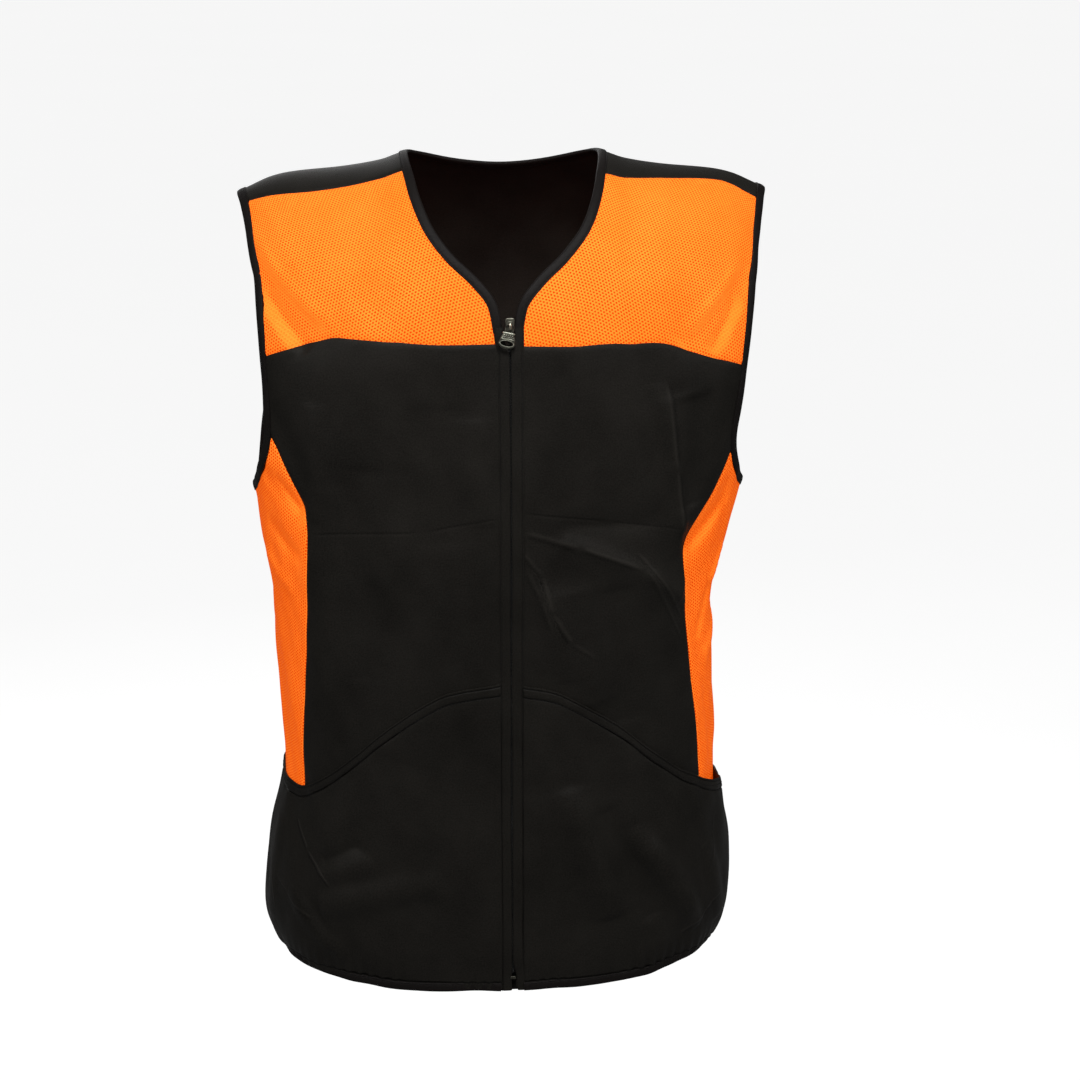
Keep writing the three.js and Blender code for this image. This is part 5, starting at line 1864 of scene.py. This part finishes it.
@dataclass
class FrontZip:
    """Folded bands, teeth, stop, slider and pull of the centre front."""

    top: float = -0.1245
    foot: float = -0.6984
    inner: float = 0.0006
    opening: float = 0.0044
    drawn_share: float = 1.2
    opening_levels: Pair = (-0.146, -0.130)
    foot_opening: float = 0.0036
    foot_levels: Pair = (-0.6954, -0.668)
    top_narrowing: float = 0.17
    band_waves: tuple[Pair, ...] = ((0.00015, 0.031), (0.0001, 0.0113))
    band_stitch: Pair = (0.0084, 0.0006)
    tape_levels: Pair = (-0.1405, -0.6994)
    tape_station: float = 0.006
    left_tape_shift: Pair = (-0.0012, -0.0009)
    tooth_pitch: float = 0.0011
    tooth_half: Triple = (0.0016, 0.0007, 0.0006)
    tooth_shift: float = 0.0009
    tooth_lift: float = -0.0010
    chain_levels: Pair = (-0.1212, -0.683)
    stop_level: float = -0.6864
    seat_level: float = -0.123
    seat_lift: float = 0.0005
    plate: float = 0.0017
    clearance: float = 0.0015
    bail_bend: float = 0.0028
    bail_past: float = 0.35
    bail_half: Pair = (0.0010, 0.0007)
    tilt: float = 12.0
    eye_half: float = 0.0031
    eye_middle: float = -0.0027
    eye_wire: Pair = (0.00055, 0.0007)
    stud_out: float = 0.00075
    stud_rows: tuple[tuple[float, int, float], ...] = ((-0.0077, 5, 0.0034), (-0.0092, 6, 0.0041))

    def build(self) -> None:
        """Builds the zip from the cloth outwards."""
        for side in Side:
            self.build_band(side)
            self.build_tape(side)
        self.build_teeth()
        self.build_stop()
        self.build_slider()
        self.build_pull()

    def band_profile(self) -> Array:
        """Loop of distances from the fold and out of the cloth: a soft fold that runs past its stitches."""
        return np.array((
            (0.0096, -0.0006), (0.0056, -0.0006), (0.0012, -0.0004), (0.0003, 0.0000), (0.0000, 0.0006),
            (0.0003, 0.0011), (0.0011, 0.0014), (0.0034, 0.0015), (0.0064, 0.0014), (0.0076, 0.0012),
            (0.0081, 0.0007), (0.0084, 0.0004), (0.0087, 0.0006), (0.0092, 0.0005), (0.0097, 0.0001),
            (0.0099, -0.0003),
        ))

    def band_line(self, side: Side, count: int) -> tuple[Array, Array, Array]:
        """Follows the fold down the front, open round the slider and on the left at the foot.

        Args:
            side: the half.
            count: number of stations.

        Returns:
            Points, sideways directions and normals.
        """
        level = np.linspace(self.top, self.foot, Path.SAMPLES)
        drawn = 0.0 if side is Side.RIGHT else NECK_DRAWN * self.drawn_share * FORM.degree
        aside = self.inner + (self.opening - drawn) * smooth_step(*self.opening_levels, level)
        for height, length in self.band_waves:
            aside = aside + height * np.sin(level / length)
        if side is Side.LEFT:
            aside = aside + self.foot_opening * (1 - smooth_step(*self.foot_levels, level))
        places = plumb(side.value * aside, self.top, self.foot).at(np.linspace(0, 1, count))
        point, normal = FORM.surface(places)
        sideways = unit(np.cross(normal, np.gradient(point, axis=0)))
        return point, sideways * np.sign(sideways[:, :1]) * side.value, normal

    def build_band(self, side: Side) -> None:
        """Carries the band's profile down the front and sews it."""
        point, sideways, normal = self.band_line(side, math.ceil((self.top - self.foot) / CELL))
        profile = self.band_profile()
        narrowing = 1 - self.top_narrowing * smooth_step(*self.opening_levels, point[:, 2])
        narrowing = narrowing * BAND_WIDTH[side]
        aside = profile[None, :, :1] * narrowing[:, None, None]
        rings = point[:, None] + sideways[:, None] * aside + normal[:, None] * profile[None, :, 1:]
        fold = carried(rings, profile[:, 0], point[:, 2]).object(f"zip_band_fold_{side.label}")
        placed(fold, Palette.smooth, "vest", "smooth_cloth", f"zip_band_{side.label}")
        across, out = self.band_stitch
        line = point + sideways * (across * narrowing)[:, None] + normal * out
        stitch_row(f"zip_band_stitches_{side.label}", line, normal)

    def centre_line(self, levels: Pair, pitch: float) -> tuple[Array, Array]:
        """Points and normals down the centre of the front, about one pitch apart."""
        count = math.ceil((levels[0] - levels[1]) / pitch)
        return FORM.surface(plumb(0.0, *levels).at(np.linspace(0, 1, count)))

    def build_tape(self, side: Side) -> None:
        """Woven tape behind the band: a thin rounded strip carried down from under the yoke to the hem."""
        point, normal = self.centre_line(self.tape_levels, self.tape_station)
        profile = np.array((
            (0.0003, -0.0024), (0.0006, -0.0021), (0.0150, -0.0021), (0.0152, -0.0024), (0.0150, -0.0028),
            (0.0006, -0.0028),
        ))
        if side is Side.LEFT:
            profile = profile + np.array(self.left_tape_shift)
        sideways = SIDEWAYS * side.value
        rings = point[:, None] + sideways * profile[None, :, :1] + normal[:, None] * profile[None, :, 1:]
        strip = carried(rings, profile[:, 0], point[:, 2]).object(f"zip_tape_strip_{side.label}")
        placed(strip, Palette.tape, "vest", "zip_tape", f"zip_tape_{side.label}")

    def build_teeth(self) -> None:
        """Interlocked teeth: spindles across the zip, alternately shifted to each side."""
        point, normal = self.centre_line(self.chain_levels, self.tooth_pitch)
        along = unit(np.gradient(point, axis=0))
        aside = unit(np.cross(normal, along))
        turn = np.where(np.arange(len(point)) % 2, 1.0, -1.0)[:, None]
        centres = point + aside * turn * self.tooth_shift + normal * self.tooth_lift
        axes = np.stack((aside, along, normal), 1) * np.array(self.tooth_half)[:, None]
        teeth = MeshData.of(*scattered(spindle(5, 8), centres, axes)).object("zip_teeth")
        placed(teeth, Palette.teeth, "vest", "zip_teeth", "zip_chain")

    def seat(self, level: float) -> tuple[Array, Array]:
        """Finds a seat on the centre line.

        Args:
            level: its level.

        Returns:
            The point, and the axes there as rows: sideways, into the cloth and up.
        """
        place = plumb(0.0, level, self.foot).at(np.array([0.0]))
        point = FORM.points(place, folded=False)[0]
        inwards = -FORM.frames(place, folded=False)[2][0]
        inwards[0] = 0.0
        inwards = unit(inwards)
        return point, np.stack((SIDEWAYS, inwards, np.cross(SIDEWAYS, inwards)))

    def build_stop(self) -> None:
        """Bottom stop: a rounded box over the last teeth, between the bands."""
        stop = MeshData()
        stop.put(STOP.solid(), *self.seat(self.stop_level))
        placed(stop.object("zip_stop_block"), Palette.metal, "vest", "zip_metal", "zip_stop")

    def build_slider(self) -> None:
        """Slider: two plates joined by a post, with a bail arched over the front plate."""
        seat = self.seat(self.seat_level)
        body, bail = MeshData(), MeshData()
        for block in SLIDER:
            body.put(block.solid(), *seat)
        placed(body.object("zip_slider_body"), Palette.metal, "vest", "zip_metal", "zip_slider")
        turn = np.linspace(-self.bail_past, math.pi + self.bail_past, 19)
        out = -self.seat_lift - self.plate - self.clearance - self.bail_bend * np.sin(turn)
        bend = np.stack((np.zeros(19), out, self.bail_bend * np.cos(turn)), -1)
        bail.put(flat_wire(bend, SIDEWAYS, *self.bail_half), *seat)
        # The bail takes the lighter metal: a painted highlight on rubbed plating.
        placed(bail.object("zip_slider_bail"), Palette.rubbed_and_highlit, "vest", "zip_metal")

    def build_pull(self) -> None:
        """Pull: an eye round the bail, a collar, a studded band and a flared foot with an oval window."""
        point, axes = self.seat(self.seat_level)
        point = point - axes[1] * (self.seat_lift + self.plate + self.clearance)
        sine, cosine = math.sin(math.radians(self.tilt)), math.cos(math.radians(self.tilt))
        axes = np.array(((cosine, 0.0, -sine), (0.0, 1.0, 0.0), (sine, 0.0, cosine))) @ axes
        tab, ridges = MeshData(), MeshData()
        tab.put(eye_ring(self.eye_half, self.eye_middle, *self.eye_wire), point, axes)
        tab.put(window_plate(), point, axes)
        placed(tab.object("zip_pull_tab"), Palette.metal, "pull", "zip_metal", "zip_pull")
        ridges.put(COLLAR.solid(), point, axes)
        ridges.put(LEDGE.solid(), point, axes)
        ridges.put(window_rim(), point, axes)
        for level, count, half in self.stud_rows:
            for x in np.linspace(-half, half, count):
                ridges.put(STUD._replace(place=(x, -self.stud_out, level)).solid(), point, axes)
        # Collar, ledge, rim and studs take the lighter metal: a painted highlight on rubbed plating.
        placed(ridges.object("zip_pull_ridges"), Palette.rubbed_and_highlit, "pull", "zip_metal")


def rounded_block(half: Triple, roundness: float, taper: float = 0.0) -> Solid:
    """Superellipsoid: a ball whose sines and cosines are raised to a power, so that it nears a block.

    Args:
        half: half sizes along the three axes.
        roundness: power from near 0, a block, to 1, a ball.
        taper: share by which it narrows towards its foot.

    Returns:
        The vertices and faces.
    """
    lat = np.linspace(-math.pi / 2, math.pi / 2, 15)[1:-1]
    lon = turns(24)
    girth = bent(np.cos(lat), roundness)[:, None]
    rings = np.empty((13, 24, 3))
    rings[..., 0] = girth * bent(np.cos(lon), roundness)
    rings[..., 1] = girth * bent(np.sin(lon), roundness)
    rings[..., 2] = bent(np.sin(lat), roundness)[:, None]
    rings[..., 0] *= 1 - taper * (1 - rings[..., 2]) / 2
    vertices, faces = closed_tube(rings * np.array(half))
    return vertices, turned_out(vertices, faces)


def flat_wire(line: Array, aside: Array, wide: float, thick: float, loop: bool = False) -> Solid:
    """Flattened wire: an ellipse carried along a line in one plane.

    Args:
        line: points of the wire's centre.
        aside: direction across that plane.
        wide: half width along it.
        thick: half thickness across the line, in the plane.
        loop: whether the line is closed.

    Returns:
        The vertices and faces.
    """
    step = np.roll(line, -1, 0) - np.roll(line, 1, 0) if loop else np.gradient(line, axis=0)
    across = np.cross(unit(step), aside)
    around = turns(10 if loop else 12)[None, :, None]
    rings = line[:, None] + across[:, None] * thick * np.cos(around) + aside * wide * np.sin(around)
    return closed_tube(rings, loop)


def eye_ring(half: float, middle: float, wire: float, thick: float) -> Solid:
    """Eye of the pull: a flattened wire carried round a squared oval.

    Args:
        half: half width and half height of the oval.
        middle: height of its middle.
        wire: half width of the wire.
        thick: half thickness of the wire.

    Returns:
        The vertices and faces.
    """
    turn = turns(40)
    x, z = half * bent(np.cos(turn), EYE_ROUNDNESS), half * bent(np.sin(turn), EYE_ROUNDNESS) + middle
    return flat_wire(np.stack((x, np.zeros(40), z), -1), np.array((0.0, 1.0, 0.0)), thick, wire, loop=True)


def window_plate() -> Solid:
    """Flared plate round an oval window: a rounded section carried round the window.

    The section runs from the window's edge to the plate's edge at each bearing. The plate's edge is half an
    ellipse below the window's middle, and a squared half oval that narrows upwards above it.

    Returns:
        The vertices and faces.
    """
    turn = turns(72)
    wide, high = np.cos(turn), np.sin(turn)
    window = np.stack((WINDOW_HALF * wide, WINDOW_RISE * high), -1)
    z = np.where(high > 0, PLATE_TOP * np.abs(high) ** EYE_ROUNDNESS, PLATE_FOOT * high)
    flare = np.interp(z, (0.0, PLATE_TOP), PLATE_FLARE)
    x = np.where(high > 0, bent(wide, PLATE_SQUARENESS), wide) * flare
    section = turns(16)
    share = (0.5 - 0.5 * bent(np.cos(section), SECTION_ROUNDNESS))[None, :, None]
    out = PLATE_HALF * bent(np.sin(section), SECTION_ROUNDNESS)
    flat = window[:, None] * (1 - share) + np.stack((x, z), -1)[:, None] * share
    rings = np.stack((flat[..., 0], np.broadcast_to(out, flat.shape[:2]), flat[..., 1] + WINDOW_MIDDLE), -1)
    return closed_tube(rings, loop=True)


def window_rim() -> Solid:
    """Raised bead round the window: a small circle carried round an oval.

    Returns:
        The vertices and faces.
    """
    turn = turns(72)
    around = turns(8)
    grow = RIM_SET + RIM_HALF[0] * np.cos(around)
    x = (WINDOW_HALF + grow)[None] * np.cos(turn)[:, None]
    z = (WINDOW_RISE + grow)[None] * np.sin(turn)[:, None] + WINDOW_MIDDLE
    out = np.broadcast_to(-RIM_OUT - RIM_HALF[1] * np.sin(around), x.shape)
    return closed_tube(np.stack((x, out, z), -1), loop=True)


LAMPS = rows(
    Lamp,
    ("key_light", (0.0, -1.1, 1.15), (0.0, 0.0, -0.22), 0.5, 33.0),
    ("left_light", (-1.8, -1.3, 0.55), (0.0, 0.0, -0.25), 0.4, 11.5),
    ("right_light", (2.0, -1.2, 0.55), (0.0, 0.0, -0.25), 0.4, 13.5),
    ("back_light", (-0.6, 2.4, 0.7), (0.0, 0.0, -0.30), 2.0, 24.0),
)


@dataclass
class Studio:
    """Pale floor, soft light and the camera."""

    floor_level: float = -1.45
    floor_half: float = 30.0
    floor_patches: float = 0.6
    floor_tones: Pair = (0.28, 0.32)
    floor_glow: Pair = (0.08, 0.88)
    floor_roughness: float = 0.9
    room_light: float = 0.12
    room_shown: float = 0.95
    camera_place: Triple = (-0.0912, -1.998, 0.258)
    camera_turn: Triple = (73.5, 0.0, -3.5)
    lens: float = 80.7
    sensor: float = 36.0

    def build(self) -> None:
        """Builds floor, lights, world and camera."""
        self.build_floor()
        for lamp in LAMPS:
            self.build_light(lamp)
        self.build_room()
        camera = bpy.data.cameras.new("camera")
        camera.lens = self.lens
        camera.sensor_width = self.sensor
        made = bpy.data.objects.new("camera", camera)
        made.location = self.camera_place
        made.rotation_euler = [math.radians(value) for value in self.camera_turn]
        bpy.context.scene.collection.objects.link(made)
        bpy.context.scene.camera = made
        bpy.context.scene.view_settings.view_transform = "Standard"

    def build_room(self) -> None:
        """Soft even light from all round, shown paler than it shines."""
        world = bpy.data.worlds.new("soft_room")
        world.use_nodes = True
        nodes = Nodes(world.node_tree)
        seen = nodes.add("LightPath").outputs["Is Camera Ray"]
        level = nodes.add("MapRange", {"Value": seen, "To Min": self.room_light, "To Max": self.room_shown})
        background = world.node_tree.nodes["Background"]
        nodes.fill(background, {"Color": (1.0, 1.0, 1.0, 1.0), "Strength": level.outputs["Result"]})
        bpy.context.scene.world = world

    def build_floor(self) -> None:
        """Wide pale floor below the vest, shown paler than it shines."""
        corners = np.array(((-1, -1), (1, -1), (1, 1), (-1, 1))) * self.floor_half
        points = np.concatenate((corners, np.full((4, 1), self.floor_level)), 1)
        floor = MeshData.of(points, [np.array([[0, 1, 2, 3]])], corners).object("floor")
        material, nodes, shader = started("pale_floor")
        tones = [(value, value, value, 1.0) for value in self.floor_tones + self.floor_glow]
        nodes.fill(shader, {
            "Base Color": nodes.mix(patchy(nodes, self.floor_patches), tones[0], tones[1]),
            "Roughness": self.floor_roughness,
            "Emission Color": nodes.mix(nodes.add("LightPath").outputs["Is Camera Ray"], tones[2], tones[3]),
            "Emission Strength": 1.0,
        })
        floor.data.materials.append(material)

    def build_light(self, lamp: Lamp) -> None:
        """Places a lamp and turns its face to its target."""
        light = bpy.data.lights.new(lamp.name, "AREA")
        light.shape = "SQUARE"
        light.size = lamp.size
        light.energy = lamp.power
        made = bpy.data.objects.new(lamp.name, light)
        made.location = lamp.place
        away = np.array(lamp.place) - np.array(lamp.target)
        flat = math.hypot(away[0], away[1])
        made.rotation_euler = (math.atan2(flat, away[2]), 0.0, math.atan2(away[0], -away[1]))
        bpy.context.scene.collection.objects.link(made)


def main() -> None:
    """Builds every part of the vest and the studio round it."""
    logging.basicConfig(level=logging.INFO, format="%(name)s: %(message)s")
    Studio().build()
    cuts = {side: Cut(side) for side in Side}
    Shell(cuts).build()
    Pockets(cuts).build()
    Bindings(cuts).build()
    FrontZip().build()


if __name__ == "__main__":
    main()
